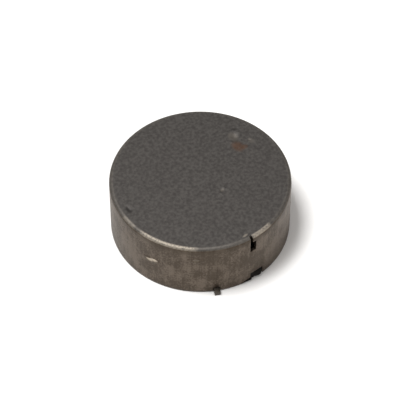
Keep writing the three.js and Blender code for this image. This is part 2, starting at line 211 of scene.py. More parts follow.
class Blank:
    """A mesh that is being worked, in millimetres."""

    def __init__(self) -> None:
        """Starts with an empty mesh."""
        self.bm = bmesh.new()

    # -- starting shapes --

    def turn(self, profile: Sequence[Point2], steps: int, closed: bool = True) -> "Blank":
        """Spins a profile once round the Z axis.

        Args:
            profile: radius and level of each point.
            steps: the number of facets round the axis.
            closed: whether the last point joins the first.

        Returns:
            This blank.
        """
        verts = [self.bm.verts.new((r, 0.0, z)) for r, z in profile]
        pairs = list(zip(verts, verts[1:])) + ([(verts[-1], verts[0])] if closed else [])
        edges = [self.bm.edges.new(pair) for pair in pairs]
        bmesh.ops.spin(
            self.bm, geom=verts + edges, cent=(0, 0, 0), axis=UP, dvec=(0, 0, 0),
            angle=math.tau, steps=steps, use_merge=True, use_duplicate=False,
        )
        return self.clean()

    def fan(
        self, radii: Sequence[float], start: float, end: float, steps: int, level: float = 0.0,
    ) -> "Blank":
        """Adds part of a flat ring between two angles.

        Args:
            radii: the radii of the ring's edges, from the inside out.
            start: the first angle in degrees.
            end: the last angle in degrees.
            steps: the number of facets along the arc.
            level: the ring's level.

        Returns:
            This blank.
        """
        verts = [self.bm.verts.new(polar(r, start, level)) for r in radii]
        edges = [self.bm.edges.new(pair) for pair in zip(verts, verts[1:])]
        bmesh.ops.spin(
            self.bm, geom=verts + edges, cent=(0, 0, 0), axis=UP, dvec=(0, 0, 0),
            angle=math.radians(end - start), steps=steps, use_merge=False, use_duplicate=False,
        )
        return self.clean()

    def disc(
        self, radius: float, steps: int, bottom: float, height: float, at: Vector | None = None,
    ) -> "Blank":
        """Raises a round disc.

        Args:
            radius: the disc's radius.
            steps: the number of facets round it.
            bottom: the level of its underside.
            height: how thick it is.
            at: the place of its centre in X and Y.

        Returns:
            This blank.
        """
        place = Matrix.Translation((at or Vector((0, 0, 0))) + UP * bottom)
        bmesh.ops.create_circle(self.bm, cap_ends=True, radius=radius, segments=steps, matrix=place)
        return self.lift(height)

    def box(self, low: Sequence[float], high: Sequence[float], turn: float = 0.0) -> "Blank":
        """Adds a box.

        Args:
            low: its lowest corner.
            high: its highest corner.
            turn: the angle in degrees that it is then turned by about Z.

        Returns:
            This blank.
        """
        low, high = Vector(low), Vector(high)
        place = Matrix.Rotation(math.radians(turn), 4, "Z") @ Matrix.Translation((low + high) / 2)
        bmesh.ops.create_cube(self.bm, size=1.0, matrix=place @ Matrix.Diagonal((*(high - low), 1.0)))
        return self

    # -- working it further --

    def lift(self, height: float) -> "Blank":
        """Raises the flat faces of the blank into a solid.

        Args:
            height: how far they are raised.

        Returns:
            This blank.
        """
        grown = bmesh.ops.extrude_face_region(self.bm, geom=self.bm.faces[:], use_keep_orig=True)
        moved = [v for v in grown["geom"] if isinstance(v, bmesh.types.BMVert)]
        bmesh.ops.translate(self.bm, verts=moved, vec=UP * height)
        return self.face_out()

    def clean(self, distance: float = WELD) -> "Blank":
        """Welds vertices that meet and drops faces and edges without size.

        Args:
            distance: how close vertices are when they meet.

        Returns:
            This blank.
        """
        bmesh.ops.remove_doubles(self.bm, verts=self.bm.verts[:], dist=distance)
        bmesh.ops.dissolve_degenerate(self.bm, edges=self.bm.edges[:], dist=distance)
        return self

    def merge_flats(self) -> "Blank":
        """Joins flat faces that lie side by side into one, and faces them all outwards.

        Returns:
            This blank.
        """
        self.clean(LOOSE_WELD)
        bmesh.ops.dissolve_limit(
            self.bm, angle_limit=math.radians(FLAT), verts=self.bm.verts[:], edges=self.bm.edges[:],
        )
        return self.face_out()

    def face_out(self) -> "Blank":
        """Turns every face outwards."""
        bmesh.ops.recalc_face_normals(self.bm, faces=self.bm.faces[:])
        return self

    def move(self, by: Sequence[float]) -> "Blank":
        """Moves the whole blank."""
        bmesh.ops.translate(self.bm, verts=self.bm.verts[:], vec=Vector(by))
        return self

    def swing(self, degrees: float) -> "Blank":
        """Turns the whole blank about the Z axis.

        Args:
            degrees: how far it is turned.

        Returns:
            This blank.
        """
        turn = Matrix.Rotation(math.radians(degrees), 3, "Z")
        bmesh.ops.rotate(self.bm, verts=self.bm.verts[:], cent=(0, 0, 0), matrix=turn)
        return self

    def slice(self, place: Vector, normal: Vector, near: Callable[[Vector], bool]) -> "Blank":
        """Cuts edges along a plane, through the faces near a place.

        Args:
            place: a point on the plane.
            normal: the plane's normal.
            near: says from a face's centre whether the face is cut.

        Returns:
            This blank.
        """
        faces = [f for f in self.bm.faces if near(f.calc_center_median())]
        edges = {e for f in faces for e in f.edges}
        verts = {v for f in faces for v in f.verts}
        geom = [*verts, *edges, *faces]
        bmesh.ops.bisect_plane(self.bm, geom=geom, dist=WELD, plane_co=place, plane_no=normal)
        return self

    def drop(self, where: Callable[[Vector], bool]) -> "Blank":
        """Deletes faces.

        Args:
            where: says from a face's centre whether the face goes.

        Returns:
            This blank.
        """
        doomed = [f for f in self.bm.faces if where(f.calc_center_median())]
        bmesh.ops.delete(self.bm, geom=doomed, context="FACES")
        return self

    def soften(
        self, width: float, segments: int = 2, sharper_than: float = 40.0, upright: bool = False,
    ) -> "Blank":
        """Bevels the sharp edges.

        Args:
            width: the bevel's offset.
            segments: the number of strips in it.
            sharper_than: edges whose faces meet at more than this angle in degrees are bevelled.
            upright: whether only the upright edges are, which rounds the corners of a plate's outline.

        Returns:
            This blank.
        """
        limit = math.radians(sharper_than)
        edges = [e for e in self.bm.edges if e.is_manifold and e.calc_face_angle(0.0) > limit]
        if upright:
            edges = [e for e in edges if abs((e.verts[0].co - e.verts[1].co).normalized().z) > 0.99]
        bmesh.ops.bevel(
            self.bm, geom=edges, offset=width, offset_type="OFFSET", affect="EDGES",
            segments=segments, profile=0.5, material=-1, clamp_overlap=True,
        )
        return self

    def press(self, push: Callable[[Vector], Vector]) -> "Blank":
        """Moves every vertex.

        Args:
            push: says from a vertex's place how far it moves.

        Returns:
            This blank.
        """
        for vert in self.bm.verts:
            vert.co += push(vert.co.copy())
        return self

    def finish(self, name: str, sharp: float = SHARP) -> bpy.types.Object:
        """Makes the blank an object in metres, shaded smooth between its sharp edges.

        Args:
            name: the object's name.
            sharp: edges whose faces meet at more than this angle in degrees are shaded sharp.

        Returns:
            The new object, at the origin.
        """
        limit = math.radians(sharp)
        for face in self.bm.faces:
            face.smooth = True
        for edge in self.bm.edges:
            edge.smooth = edge.calc_face_angle(0.0) < limit
        bmesh.ops.scale(self.bm, verts=self.bm.verts[:], vec=(MM, MM, MM))
        mesh = bpy.data.meshes.new(name)
        self.bm.to_mesh(mesh)
        self.bm.free()
        made = bpy.data.objects.new(name, mesh)
        bpy.context.scene.collection.objects.link(made)
        return made


def apply_modifier(piece: bpy.types.Object, modifier: bpy.types.Modifier) -> None:
    """Applies one modifier of a piece to its mesh."""
    with bpy.context.temp_override(object=piece, active_object=piece, selected_objects=[piece]):
        bpy.ops.object.modifier_apply(modifier=modifier.name)


def carve(piece: bpy.types.Object, cutters: Iterable[Blank], operation: str = "DIFFERENCE") -> None:
    """Cuts blanks out of a piece, or joins them to it.

    Args:
        piece: the piece to cut.
        cutters: the blanks, which are used up.
        operation: DIFFERENCE to cut or UNION to join.
    """
    for cutter in cutters:
        tool = cutter.finish("cutter")
        modifier = piece.modifiers.new("carve", "BOOLEAN")
        modifier.operation = operation
        modifier.solver = "EXACT"
        modifier.object = tool
        apply_modifier(piece, modifier)
        bpy.data.meshes.remove(tool.data)
    piece.data.set_sharp_from_angle(angle=math.radians(SHARP))


def reopen(piece: bpy.types.Object) -> Blank:
    """Takes a piece's mesh back into a blank, in millimetres, and removes the piece.

    Args:
        piece: the piece.

    Returns:
        The blank.
    """
    blank = Blank()
    blank.bm.from_mesh(piece.data)
    bmesh.ops.scale(blank.bm, verts=blank.bm.verts[:], vec=(1 / MM, 1 / MM, 1 / MM))
    bpy.data.meshes.remove(piece.data)
    return blank


def ease_edges(piece: bpy.types.Object, width: float, segments: int = 3, angle: float = 40.0) -> None:
    """Gives a piece live bevels on its sharp edges and even shading on its flats.

    Args:
        piece: the piece.
        width: the bevel's width in millimetres.
        segments: the number of strips in it.
        angle: edges sharper than this, in degrees, are bevelled.
    """
    bevel = piece.modifiers.new("eased edges", "BEVEL")
    bevel.width = width * MM
    bevel.segments = segments
    bevel.limit_method = "ANGLE"
    bevel.angle_limit = math.radians(angle)
    bevel.use_clamp_overlap = True
    even_shading(piece)


def flowed(blank: Blank, name: str, sharp: float) -> bpy.types.Object:
    """Makes a lump an object that is rounded as if it had flowed.

    Args:
        blank: the lump.
        name: the object's name.
        sharp: edges whose faces meet at more than this angle in degrees are shaded sharp.

    Returns:
        The new object.
    """
    piece = blank.face_out().finish(name, sharp)
    modifier = piece.modifiers.new("flow", "SUBSURF")
    modifier.levels = modifier.render_levels = 2
    return piece


def ring_of(inner: float, outer: float, extent: Extent, edge: float, steps: int, around: int) -> Blank:
    """Makes a ring with a hole and rounded edges, as high as a node's box.

    Args:
        inner: the radius of its hole.
        outer: its outer radius.
        extent: the node's box.
        edge: the radius of its edges.
        steps: the number of chords in each rounded edge.
        around: the number of facets round it.

    Returns:
        The ring.
    """
    low, high = extent.bottom, extent.top
    corners = [(r, z, edge) for r, z in ((inner, low), (outer, low), (outer, high), (inner, high))]
    return Blank().turn(rounded(corners, True, steps), around).face_out()


def even_shading(piece: bpy.types.Object) -> None:
    """Weights a piece's normals by face area, so that its flats look flat."""
    weighted = piece.modifiers.new("even shading", "WEIGHTED_NORMAL")
    weighted.keep_sharp = True


def tube_along(points: Sequence[Vector], radius: float, sides: int = 10) -> Blank:
    """Sweeps a round wire along a path.

    Args:
        points: the path's points.
        radius: the wire's radius.
        sides: the number of facets round the wire.

    Returns:
        The wire, with closed ends.
    """
    blank = Blank()
    way = (points[1] - points[0]).normalized()
    place = Matrix.Translation(points[0]) @ way.to_track_quat("Z", "Y").to_matrix().to_4x4()
    ring = bmesh.ops.create_circle(blank.bm, cap_ends=True, radius=radius, segments=sides, matrix=place)
    face = ring["verts"][0].link_faces[0]
    for here, there, after in zip(points, points[1:], [*points[2:], points[-1] * 2 - points[-2]]):
        grown = bmesh.ops.extrude_face_region(blank.bm, geom=[face, *face.edges])
        face = next(g for g in grown["geom"] if isinstance(g, bmesh.types.BMFace))
        ahead = (after - here).normalized()
        turn = way.rotation_difference(ahead).to_matrix()
        bmesh.ops.translate(blank.bm, verts=face.verts[:], vec=there - here)
        bmesh.ops.rotate(blank.bm, verts=face.verts[:], cent=there, matrix=turn)
        way = ahead
    return blank.clean().face_out()


def smooth_path(knots: Sequence[Sequence[float]], steps: int) -> list[Vector]:
    """Runs a smooth path through a few points.

    Args:
        knots: the points that the path passes.
        steps: the number of chords between two of them.

    Returns:
        The path's points.
    """
    places = [Vector(k) for k in knots]
    ends = [places[0] * 2 - places[1], *places, places[-1] * 2 - places[-2]]
    path = []
    for a, b, c, d in zip(ends, ends[1:], ends[2:], ends[3:]):
        slope, bend, twist = c - a, a * 2 - b * 5 + c * 4 - d, b * 3 - a - c * 3 + d
        for k in range(steps):
            t = k / steps
            path.append((b * 2 + slope * t + bend * t**2 + twist * t**3) / 2)
    return [*path, places[-1]]


# ---- Shader graphs ----


class Graph:
    """The node tree of one material or shader node group."""

    def __init__(self, tree: bpy.types.NodeTree) -> None:
        """Wraps a node tree.

        Args:
            tree: the tree that nodes are added to.
        """
        self.tree = tree

    def add(self, kind: str, settings: dict | None = None, **inputs: object) -> bpy.types.Node:
        """Adds a node.

        Args:
            kind: the node's type, without its ShaderNode prefix.
            settings: values of the node's own properties.
            inputs: sockets, by name with _ for a space, given a value or a socket to link from.

        Returns:
            The new node.
        """
        node = self.tree.nodes.new(f"ShaderNode{kind}")
        for key, value in (settings or {}).items():
            setattr(node, key, value)
        for key, value in inputs.items():
            self.feed(node.inputs[key.replace("_", " ")], value)
        return node

    def feed(self, socket: Socket, value: object) -> None:
        """Links a socket from another socket, or sets its value.

        Args:
            socket: the socket to feed.
            value: the socket to link from, a number, a vector or a colour.
        """
        if isinstance(value, Socket):
            self.tree.links.new(value, socket)
        elif isinstance(value, tuple) and len(value) == 3 and socket.type == "RGBA":
            socket.default_value = (*value, 1.0)
        else:
            socket.default_value = value

    def math(self, operation: str, first: Value, second: Value = 0.0, third: Value = 0.0) -> Socket:
        """Adds a Math node.

        Args:
            operation: what it works out.
            first: its first value.
            second: its second value.
            third: its third value.

        Returns:
            The socket of its result.
        """
        node = self.add("Math", {"operation": operation})
        for socket, value in zip(node.inputs, (first, second, third)):
            self.feed(socket, value)
        return node.outputs[0]

    def vector(self, operation: str, first: object, second: object = (0.0, 0.0, 0.0)) -> bpy.types.Node:
        """Adds a Vector Math node.

        Args:
            operation: what it works out.
            first: its first vector.
            second: its second vector.

        Returns:
            The node.
        """
        node = self.add("VectorMath", {"operation": operation})
        for socket, value in zip(node.inputs, (first, second)):
            self.feed(socket, value)
        return node

    def reach(self, place: Socket) -> Socket:
        """Works out how far a place is from the Z axis.

        Args:
            place: the socket of the place.

        Returns:
            The socket of the distance.
        """
        part = self.add("SeparateXYZ", Vector=place)
        square = self.math("POWER", part.outputs[1], 2.0)
        return self.math("SQRT", self.math("MULTIPLY_ADD", part.outputs[0], part.outputs[0], square))

    def fade(self, value: Value, start: Value, end: Value) -> Socket:
        """Works out a share that runs smoothly from 0 to 1.

        Args:
            value: what it follows.
            start: where it is 0.
            end: where it is 1.

        Returns:
            The socket of the share.
        """
        node = self.add(
            "MapRange", {"interpolation_type": "SMOOTHSTEP"}, Value=value, From_Min=start, From_Max=end,
        )
        return node.outputs[0]

    def blend(self, share: Value, first: object, second: object) -> Socket:
        """Mixes two colours.

        Args:
            share: how much of the second colour there is.
            first: the first colour or its socket.
            second: the second colour or its socket.

        Returns:
            The socket of the mixed colour.
        """
        node = self.add("Mix", {"data_type": "RGBA"})
        for socket, value in zip((node.inputs[0], node.inputs[6], node.inputs[7]), (share, first, second)):
            self.feed(socket, value)
        return node.outputs[2]

    def swing(self, share: Value, low: float, high: float) -> Socket:
        """Returns the socket of a value between low and high, by a share from 0 to 1."""
        return self.add("MapRange", Value=share, To_Min=low, To_Max=high).outputs[0]

    def use(self, group: bpy.types.NodeTree, **inputs: object) -> bpy.types.Node:
        """Places a shader node group.

        Args:
            group: the group.
            inputs: its sockets, by name, given a value or a socket to link from.

        Returns:
            The group's node.
        """
        node = self.tree.nodes.new("ShaderNodeGroup")
        node.node_tree = group
        for key, value in inputs.items():
            self.feed(node.inputs[key], value)
        return node


def new_group(
    name: str, inputs: dict[str, str], outputs: Sequence[str],
) -> tuple[Graph, dict[str, Socket], bpy.types.Node]:
    """Starts a shader node group.

    Args:
        name: the group's name.
        inputs: each input's name and kind, Vector or Float.
        outputs: the names of its float outputs.

    Returns:
        The group's graph, its input sockets by name, and its output node.
    """
    tree = bpy.data.node_groups.new(name, "ShaderNodeTree")
    for key, kind in inputs.items():
        tree.interface.new_socket(name=key, in_out="INPUT", socket_type=f"NodeSocket{kind}")
    for key in outputs:
        tree.interface.new_socket(name=key, in_out="OUTPUT", socket_type="NodeSocketFloat")
    source = tree.nodes.new("NodeGroupInput")
    return Graph(tree), {s.name: s for s in source.outputs if s.name}, tree.nodes.new("NodeGroupOutput")


class Effects:
    """The shader node groups that the finishes share, each built once."""

    def __init__(self) -> None:
        """Builds every group."""
        self.mottle = self._mottle()
        self.lines = self._lines()
        self.pits = self._pits()
        self.scratches = self._scratches()
        self.spot = self._spot()

    @staticmethod
    def _mottle() -> bpy.types.NodeTree:
        """Builds soft cloudy variation with a finer grain in it, from 0 to 1.

        Returns:
            The group.
        """
        finer, grain_share = 9.0, 0.45
        graph, given, result = new_group(
            "cloudy grain", {"Vector": "Vector", "Scale": "Float"}, ["Mask", "Grain"],
        )
        wide = graph.add("TexNoise", Vector=given["Vector"], Scale=given["Scale"], Detail=3.0)
        fine_scale = graph.math("MULTIPLY", given["Scale"], finer)
        fine = graph.add("TexNoise", Vector=given["Vector"], Scale=fine_scale, Detail=2.0)
        cloudy = graph.math("MULTIPLY", wide.outputs[0], 1 - grain_share)
        both = graph.math("MULTIPLY_ADD", fine.outputs[0], grain_share, cloudy)
        graph.feed(result.inputs["Mask"], graph.fade(both, 0.36, 0.64))
        graph.feed(result.inputs["Grain"], fine.outputs[0])
        return graph.tree

    @staticmethod
    def _lines() -> bpy.types.NodeTree:
        """Builds the fine rings that turning leaves round the Z axis.

        Returns:
            The group.
        """
        climb = 0.83  # how far the rings shift for each unit of height, so that walls have them too
        graph, given, result = new_group("turned lines", {"Vector": "Vector", "Pitch": "Float"}, ["Height"])
        level = graph.add("SeparateXYZ", Vector=given["Vector"]).outputs[2]
        travel = graph.math("ADD", graph.reach(given["Vector"]), graph.math("MULTIPLY", level, climb))
        count = graph.math("DIVIDE", travel, given["Pitch"])
        noise = graph.add("TexNoise", {"noise_dimensions": "1D"}, W=count, Scale=1.0, Detail=3.0)
        graph.feed(result.inputs["Height"], noise.outputs[0])
        return graph.tree

    @staticmethod
    def _pits() -> bpy.types.NodeTree:
        """Builds small round pits or specks, of which only a share of the cells has one.

        Returns:
            The group.
        """
        graph, given, result = new_group(
            "pits", {"Vector": "Vector", "Scale": "Float", "Share": "Float"}, ["Mask"],
        )
        cells = graph.add("TexVoronoi", Vector=given["Vector"], Scale=given["Scale"])
        near = graph.math("SUBTRACT", 1.0, graph.fade(cells.outputs["Distance"], 0.12, 0.34))
        pick = graph.add("SeparateColor", Color=cells.outputs["Color"])
        kept = graph.math("LESS_THAN", pick.outputs[0], given["Share"])
        graph.feed(result.inputs["Mask"], graph.math("MULTIPLY", near, kept))
        return graph.tree

    @staticmethod
    def _scratches() -> bpy.types.NodeTree:
        """Builds hair scratches that run in three directions.

        Returns:
            The group.
        """
        graph, given, result = new_group(
            "hair scratches", {"Vector": "Vector", "Scale": "Float", "Share": "Float"}, ["Mask"],
        )
        thinness, brightest, softness = 34.0, 0.82, 0.05
        total: Value = 0.0
        for turn in (0.4, 1.5, 2.6):
            turned = graph.add(
                "VectorRotate", {"rotation_type": "Z_AXIS"}, Vector=given["Vector"], Angle=turn,
            )
            drawn = graph.add("Mapping", Vector=turned.outputs[0], Scale=(1.0, thinness, 1.0))
            noise = graph.add("TexNoise", Vector=drawn.outputs[0], Scale=given["Scale"], Detail=1.0)
            edge = graph.math("SUBTRACT", brightest, given["Share"])
            line = graph.add(
                "MapRange", Value=noise.outputs[0], From_Min=edge, From_Max=graph.math("ADD", edge, softness),
            )
            total = graph.math("MAXIMUM", total, line.outputs[0])
        graph.feed(result.inputs["Mask"], total)
        return graph.tree

    @staticmethod
    def _spot() -> bpy.types.NodeTree:
        """Builds one soft spot at a place on the piece.

        Returns:
            The group.
        """
        graph, given, result = new_group(
            "spot", {"Vector": "Vector", "Centre": "Vector", "Reach": "Vector"}, ["Mask"],
        )
        away = graph.vector("SUBTRACT", given["Vector"], given["Centre"])
        share = graph.vector("DIVIDE", away.outputs[0], given["Reach"])
        length = graph.vector("LENGTH", share.outputs[0])
        graph.feed(result.inputs["Mask"], graph.fade(length.outputs["Value"], 1.0, 0.35))
        return graph.tree


EFFECTS = Effects()


class Marks(Enum):
    """How a finish's surface was made."""

    CLOUDY = "cloudy"
    TURNED = "turned"
    ROLLED = "rolled"


@dataclass(frozen=True)
class Finish:
    """One finish, whose colour, roughness and relief vary over the piece.

    Attributes:
        name: the material's name.
        slot: the record's slot that the finish stands for; it is not used.
        tones: the two colours that the surface clouds between.
        metallic: 1 for metal, 0 for anything else.
        roughness: the lowest and highest roughness.
        cloud: the size of the clouds, in millimetres.
        marks: how the surface was made.
        pitch: the spacing of turned or rolled lines, in millimetres.
        relief: the height of the marks, in millimetres.
        pitting: the share of the surface's cells that hold a pit or a speck.
        pit_size: the size of those cells, in millimetres.
        pit_tone: the colour in the pits.
        coat: the weight of a clear coat.
        subsurface: the weight of light scattered below the surface.
        specular: the strength of the plain reflection on what isn't metal.
        scatter: how far light travels below the surface, in millimetres.
        drawn_out: the share of their spacing along Y that rolled lines keep, which makes them long.
    """

    name: str
    slot: Slot
    tones: tuple[RGB, RGB]
    metallic: float = 1.0
    roughness: tuple[float, float] = (0.25, 0.4)
    cloud: float = 0.8
    marks: Marks = Marks.CLOUDY
    pitch: float = 0.03
    relief: float = 0.002
    pitting: float = 0.0
    pit_size: float = 0.12
    pit_tone: RGB = (0.05, 0.045, 0.04)
    coat: float = 0.0
    subsurface: float = 0.0
    specular: float = 0.5
    scatter: float = 0.2
    drawn_out: float = 0.04

    def material(self) -> bpy.types.Material:
        """Returns the finish's material, built the first time it is asked for."""
        return bpy.data.materials.get(self.name) or self._build()

    def _build(self) -> bpy.types.Material:
        """Builds the material.

        Returns:
            The new material.
        """
        made = bpy.data.materials.new(self.name)
        made.use_nodes = True
        made.node_tree.nodes.clear()
        graph = Graph(made.node_tree)
        place = graph.add("TexCoord").outputs["Object"]
        shader = graph.add(
            "BsdfPrincipled", Metallic=self.metallic, Coat_Weight=self.coat,
            Subsurface_Weight=self.subsurface, Specular_IOR_Level=self.specular,
        )
        if self.subsurface:
            shader.inputs["Subsurface Scale"].default_value = self.scatter * MM
        colour, roughness, height = self.surface(graph, place)
        graph.feed(shader.inputs["Base Color"], colour)
        graph.feed(shader.inputs["Roughness"], roughness)
        bump = graph.add("Bump", Height=height, Distance=self.relief * MM, Strength=1.0)
        graph.feed(shader.inputs["Normal"], bump.outputs[0])
        graph.add("OutputMaterial", Surface=shader.outputs[0])
        return made

    def surface(self, graph: Graph, place: Socket) -> Looks:
        """Works out the colour, roughness and height over the surface.

        Args:
            graph: the material's graph.
            place: the socket of the object's coordinates.

        Returns:
            The sockets of the colour, the roughness and the height.
        """
        clouds = graph.use(EFFECTS.mottle, Vector=place, Scale=1 / (self.cloud * MM))
        colour = graph.blend(clouds.outputs["Mask"], *self.tones)
        height = self.relief_of(graph, place, clouds.outputs["Grain"])
        worn = graph.math("MULTIPLY_ADD", height, 0.5, graph.math("MULTIPLY", clouds.outputs["Mask"], 0.5))
        roughness = graph.swing(worn, *self.roughness)
        if self.pitting:
            pits = graph.use(EFFECTS.pits, Vector=place, Scale=1 / (self.pit_size * MM), Share=self.pitting)
            colour = graph.blend(pits.outputs["Mask"], colour, self.pit_tone)
            height = graph.math("SUBTRACT", height, pits.outputs["Mask"])
        return colour, roughness, height

    def relief_of(self, graph: Graph, place: Socket, grain: Socket) -> Socket:
        """Works out the height of the surface's own marks.

        Args:
            graph: the material's graph.
            place: the socket of the object's coordinates.
            grain: the socket of the clouds' fine grain.

        Returns:
            The socket of the height.
        """
        if self.marks is Marks.TURNED:
            return graph.use(EFFECTS.lines, Vector=place, Pitch=self.pitch * MM).outputs["Height"]
        if self.marks is Marks.ROLLED:
            drawn = graph.add("Mapping", Vector=place, Scale=(1.0, self.drawn_out, 1.0))
            noise = graph.add("TexNoise", Vector=drawn.outputs[0], Scale=1 / (self.pitch * MM), Detail=2.0)
            return noise.outputs[0]
        return grain


@dataclass(frozen=True)
class CaseFinish(Finish):
    """The dark satin skin of the drawn case, with a warmer painted reflection on the wall, a dark band under
    the rim that is a painted reflection, and the rim partly worn and partly painted bright as a highlight.

    Depths are measured down from the case's top. All sizes are in millimetres.

    Attributes:
        top_level: the level of the case's top.
        radius: the case's radius.
        wall_reflection_tones: the two colours that the wall clouds between, warmer than the top as a painted
            reflection of the surroundings.
        wall_depths: the depths at which the wall's colour, with its painted reflection, starts and is full.
        streak: the spacing of the wall's upright streaks.
        patch: the size of the patches that wear, stains, the rim's painted highlight and the painted dark
            band under the rim come in.
        bare_and_highlight: the colour of scratched places, and of the rim where it is worn and painted bright
            as a highlight.
        rim_depths: the depths at which the rim's bright band, partly wear and partly painted highlight,
            starts and is full, from below.
        rim_insets: how far inside the case's radius that band starts and is full.
        rim_roughness: how much rougher the rim is than the rest.
        worn_and_highlit_all_round: how strongly the whole rim is worn and painted bright as a highlight.
        hairs: the size and the strength of the hair scratches.
        painted_dark_reflection: the colour of the band under the rim, a painted dark reflection.
        dark_reflection_depths: the depths at which that band starts and is full, from below and from above.
        nicks: the centre and reach of each scratched place, and how bare it is.
        painted_rim_highlights: the middle, the half width and the strength of each stretch of the rim painted
            bright as a highlight, in degrees.
        stains: the centre and reach of each stain, with its colour and strength.
    """

    top_level: float = 3.7
    radius: float = 5.0
    wall_reflection_tones: tuple[RGB, RGB] = ((0.064, 0.048, 0.034), (0.13, 0.103, 0.08))
    wall_depths: tuple[float, float] = (0.05, 0.15)
    streak: float = 0.16
    patch: float = 0.9
    bare_and_highlight: RGB = (0.5, 0.44, 0.36)
    rim_depths: tuple[float, float] = (0.15, 0.09)
    rim_insets: tuple[float, float] = (0.25, 0.17)
    rim_roughness: float = 0.12
    worn_and_highlit_all_round: float = 0.08
    hairs: tuple[float, float] = (1.5, 0.06)
    painted_dark_reflection: RGB = (0.045, 0.032, 0.02)
    dark_reflection_depths: tuple[tuple[float, float], ...] = ((0.55, 0.3), (0.08, 0.17))
    nicks: tuple[tuple[Vector, Vector, float], ...] = ()
    painted_rim_highlights: tuple[tuple[float, float, float], ...] = ()
    stains: tuple[tuple[Vector, Vector, RGB, float], ...] = ()

    def surface(self, graph: Graph, place: Socket) -> Looks:
        """Works out the colour, roughness and height over the case.

        Args:
            graph: the material's graph.
            place: the socket of the object's coordinates.

        Returns:
            The sockets of the colour, the roughness and the height.
        """
        colour, roughness, height = super().surface(graph, place)
        level = graph.add("SeparateXYZ", Vector=place).outputs[2]
        upright = graph.add("Mapping", Vector=place, Scale=(1, 1, 0.07))
        streaks = graph.add(
            "TexNoise", Vector=upright.outputs[0], Scale=1 / (self.streak * MM), Detail=3.0,
        ).outputs[0]
        patches = graph.use(EFFECTS.mottle, Vector=place, Scale=1 / (self.patch * MM))
        grain = patches.outputs["Grain"]
        on_wall = self.between(graph, level, self.wall_depths)
        drawn = graph.math(
            "MULTIPLY_ADD", streaks, 0.6, graph.math("MULTIPLY", patches.outputs["Mask"], 0.45),
        )
        # The wall's warmer tones are a painted reflection of the surroundings, laid over real streaks and
        # patches.
        wall = graph.blend(graph.fade(drawn, 0.28, 0.78), *self.wall_reflection_tones)
        colour = self.lay_stains_and_dark_reflection(graph, place, grain, graph.blend(on_wall, colour, wall))
        outward = graph.fade(graph.reach(place), *((self.radius - inset) * MM for inset in self.rim_insets))
        rim = graph.math("MULTIPLY", outward, self.between(graph, level, self.rim_depths))
        # Scratches and nicks bare the metal, and the rim is brightened, partly as wear and partly as a
        # painted highlight.
        colour = graph.blend(self.bareness_and_highlight(graph, place, grain, rim), colour, self.bare_and_highlight)
        roughness = graph.math("MULTIPLY_ADD", rim, self.rim_roughness, roughness)
        ripples = graph.math("MULTIPLY", graph.math("SUBTRACT", streaks, 0.5), on_wall)
        return colour, roughness, graph.math("ADD", height, ripples)

    def between(self, graph: Graph, level: Socket, depths: tuple[float, float]) -> Socket:
        """Returns the socket of a mask that runs from 0 to 1 between two depths."""
        start, end = ((self.top_level - depth) * MM for depth in depths)
        return graph.fade(level, start, end)

    def spot(self, graph: Graph, place: Socket, centre: Vector, size: Vector) -> Socket:
        """Returns the socket of the mask of one soft spot, by its centre and its reach."""
        return graph.use(EFFECTS.spot, Vector=place, Centre=centre * MM, Reach=size * MM).outputs["Mask"]

    def lay_stains_and_dark_reflection(self, graph: Graph, place: Socket, grain: Socket, colour: Socket) -> Socket:
        """Lays a painted dark reflection in a band under the rim, and the stains, over the case's colour.

        Args:
            graph: the material's graph.
            place: the socket of the object's coordinates.
            grain: the socket of the patches' fine grain.
            colour: the socket of the colour without the stains or the dark band.

        Returns:
            The socket of the colour with its stains and its painted dark band.
        """
        level = graph.add("SeparateXYZ", Vector=place).outputs[2]
        # A painted dark reflection: a band under the rim is darkened, patchy with the grain.
        under_rim = graph.math("MULTIPLY", *(self.between(graph, level, d) for d in self.dark_reflection_depths))
        painted_dark_reflection = graph.math("MULTIPLY", under_rim, graph.swing(grain, 0.25, 0.75))
        colour = graph.blend(painted_dark_reflection, colour, self.painted_dark_reflection)
        for centre, size, tone, share in self.stains:
            stained = self.spot(graph, place, centre, size)
            patchy = graph.math("MULTIPLY", stained, graph.swing(grain, 0.2 * share, share))
            colour = graph.blend(patchy, colour, tone)
        return colour

    def bareness_and_highlight(self, graph: Graph, place: Socket, grain: Socket, rim: Socket) -> Socket:
        """Works out how bare the metal is and how bright the rim is painted, from the rim's wear and painted
        highlight, the hair scratches and the nicks.

        Args:
            graph: the material's graph.
            place: the socket of the object's coordinates.
            grain: the socket of the patches' fine grain.
            rim: the socket of the rim's mask.

        Returns:
            The socket of the bareness and the painted highlight, from 0 to 1.
        """
        # The rim's painted highlight, partly wear, patchy with the grain.
        highlit_rim = graph.math("MULTIPLY", rim, self.rim_highlight_strength(graph, place))
        highlit_rim = graph.math("MULTIPLY", highlit_rim, graph.fade(grain, 0.1, 0.6))
        size, strength = self.hairs
        hairs = graph.use(EFFECTS.scratches, Vector=place, Scale=1 / (size * MM), Share=0.07)
        bare_and_highlight = graph.math("MAXIMUM", highlit_rim, graph.math("MULTIPLY", hairs.outputs["Mask"], strength))
        for centre, reach, share in self.nicks:
            nick = self.spot(graph, place, centre, reach)
            bare_and_highlight = graph.math("MAXIMUM", bare_and_highlight, graph.math("MULTIPLY", nick, share))
        return bare_and_highlight

    def rim_highlight_strength(self, graph: Graph, place: Socket) -> Value:
        """Works out how strongly the rim is painted bright as a highlight, partly wear, at each angle.

        Args:
            graph: the material's graph.
            place: the socket of the object's coordinates.

        Returns:
            The strength, or its socket.
        """
        full = 0.6  # the share of the half width within which a stretch is painted bright in full
        reach = graph.reach(place)
        total: Value = self.worn_and_highlit_all_round
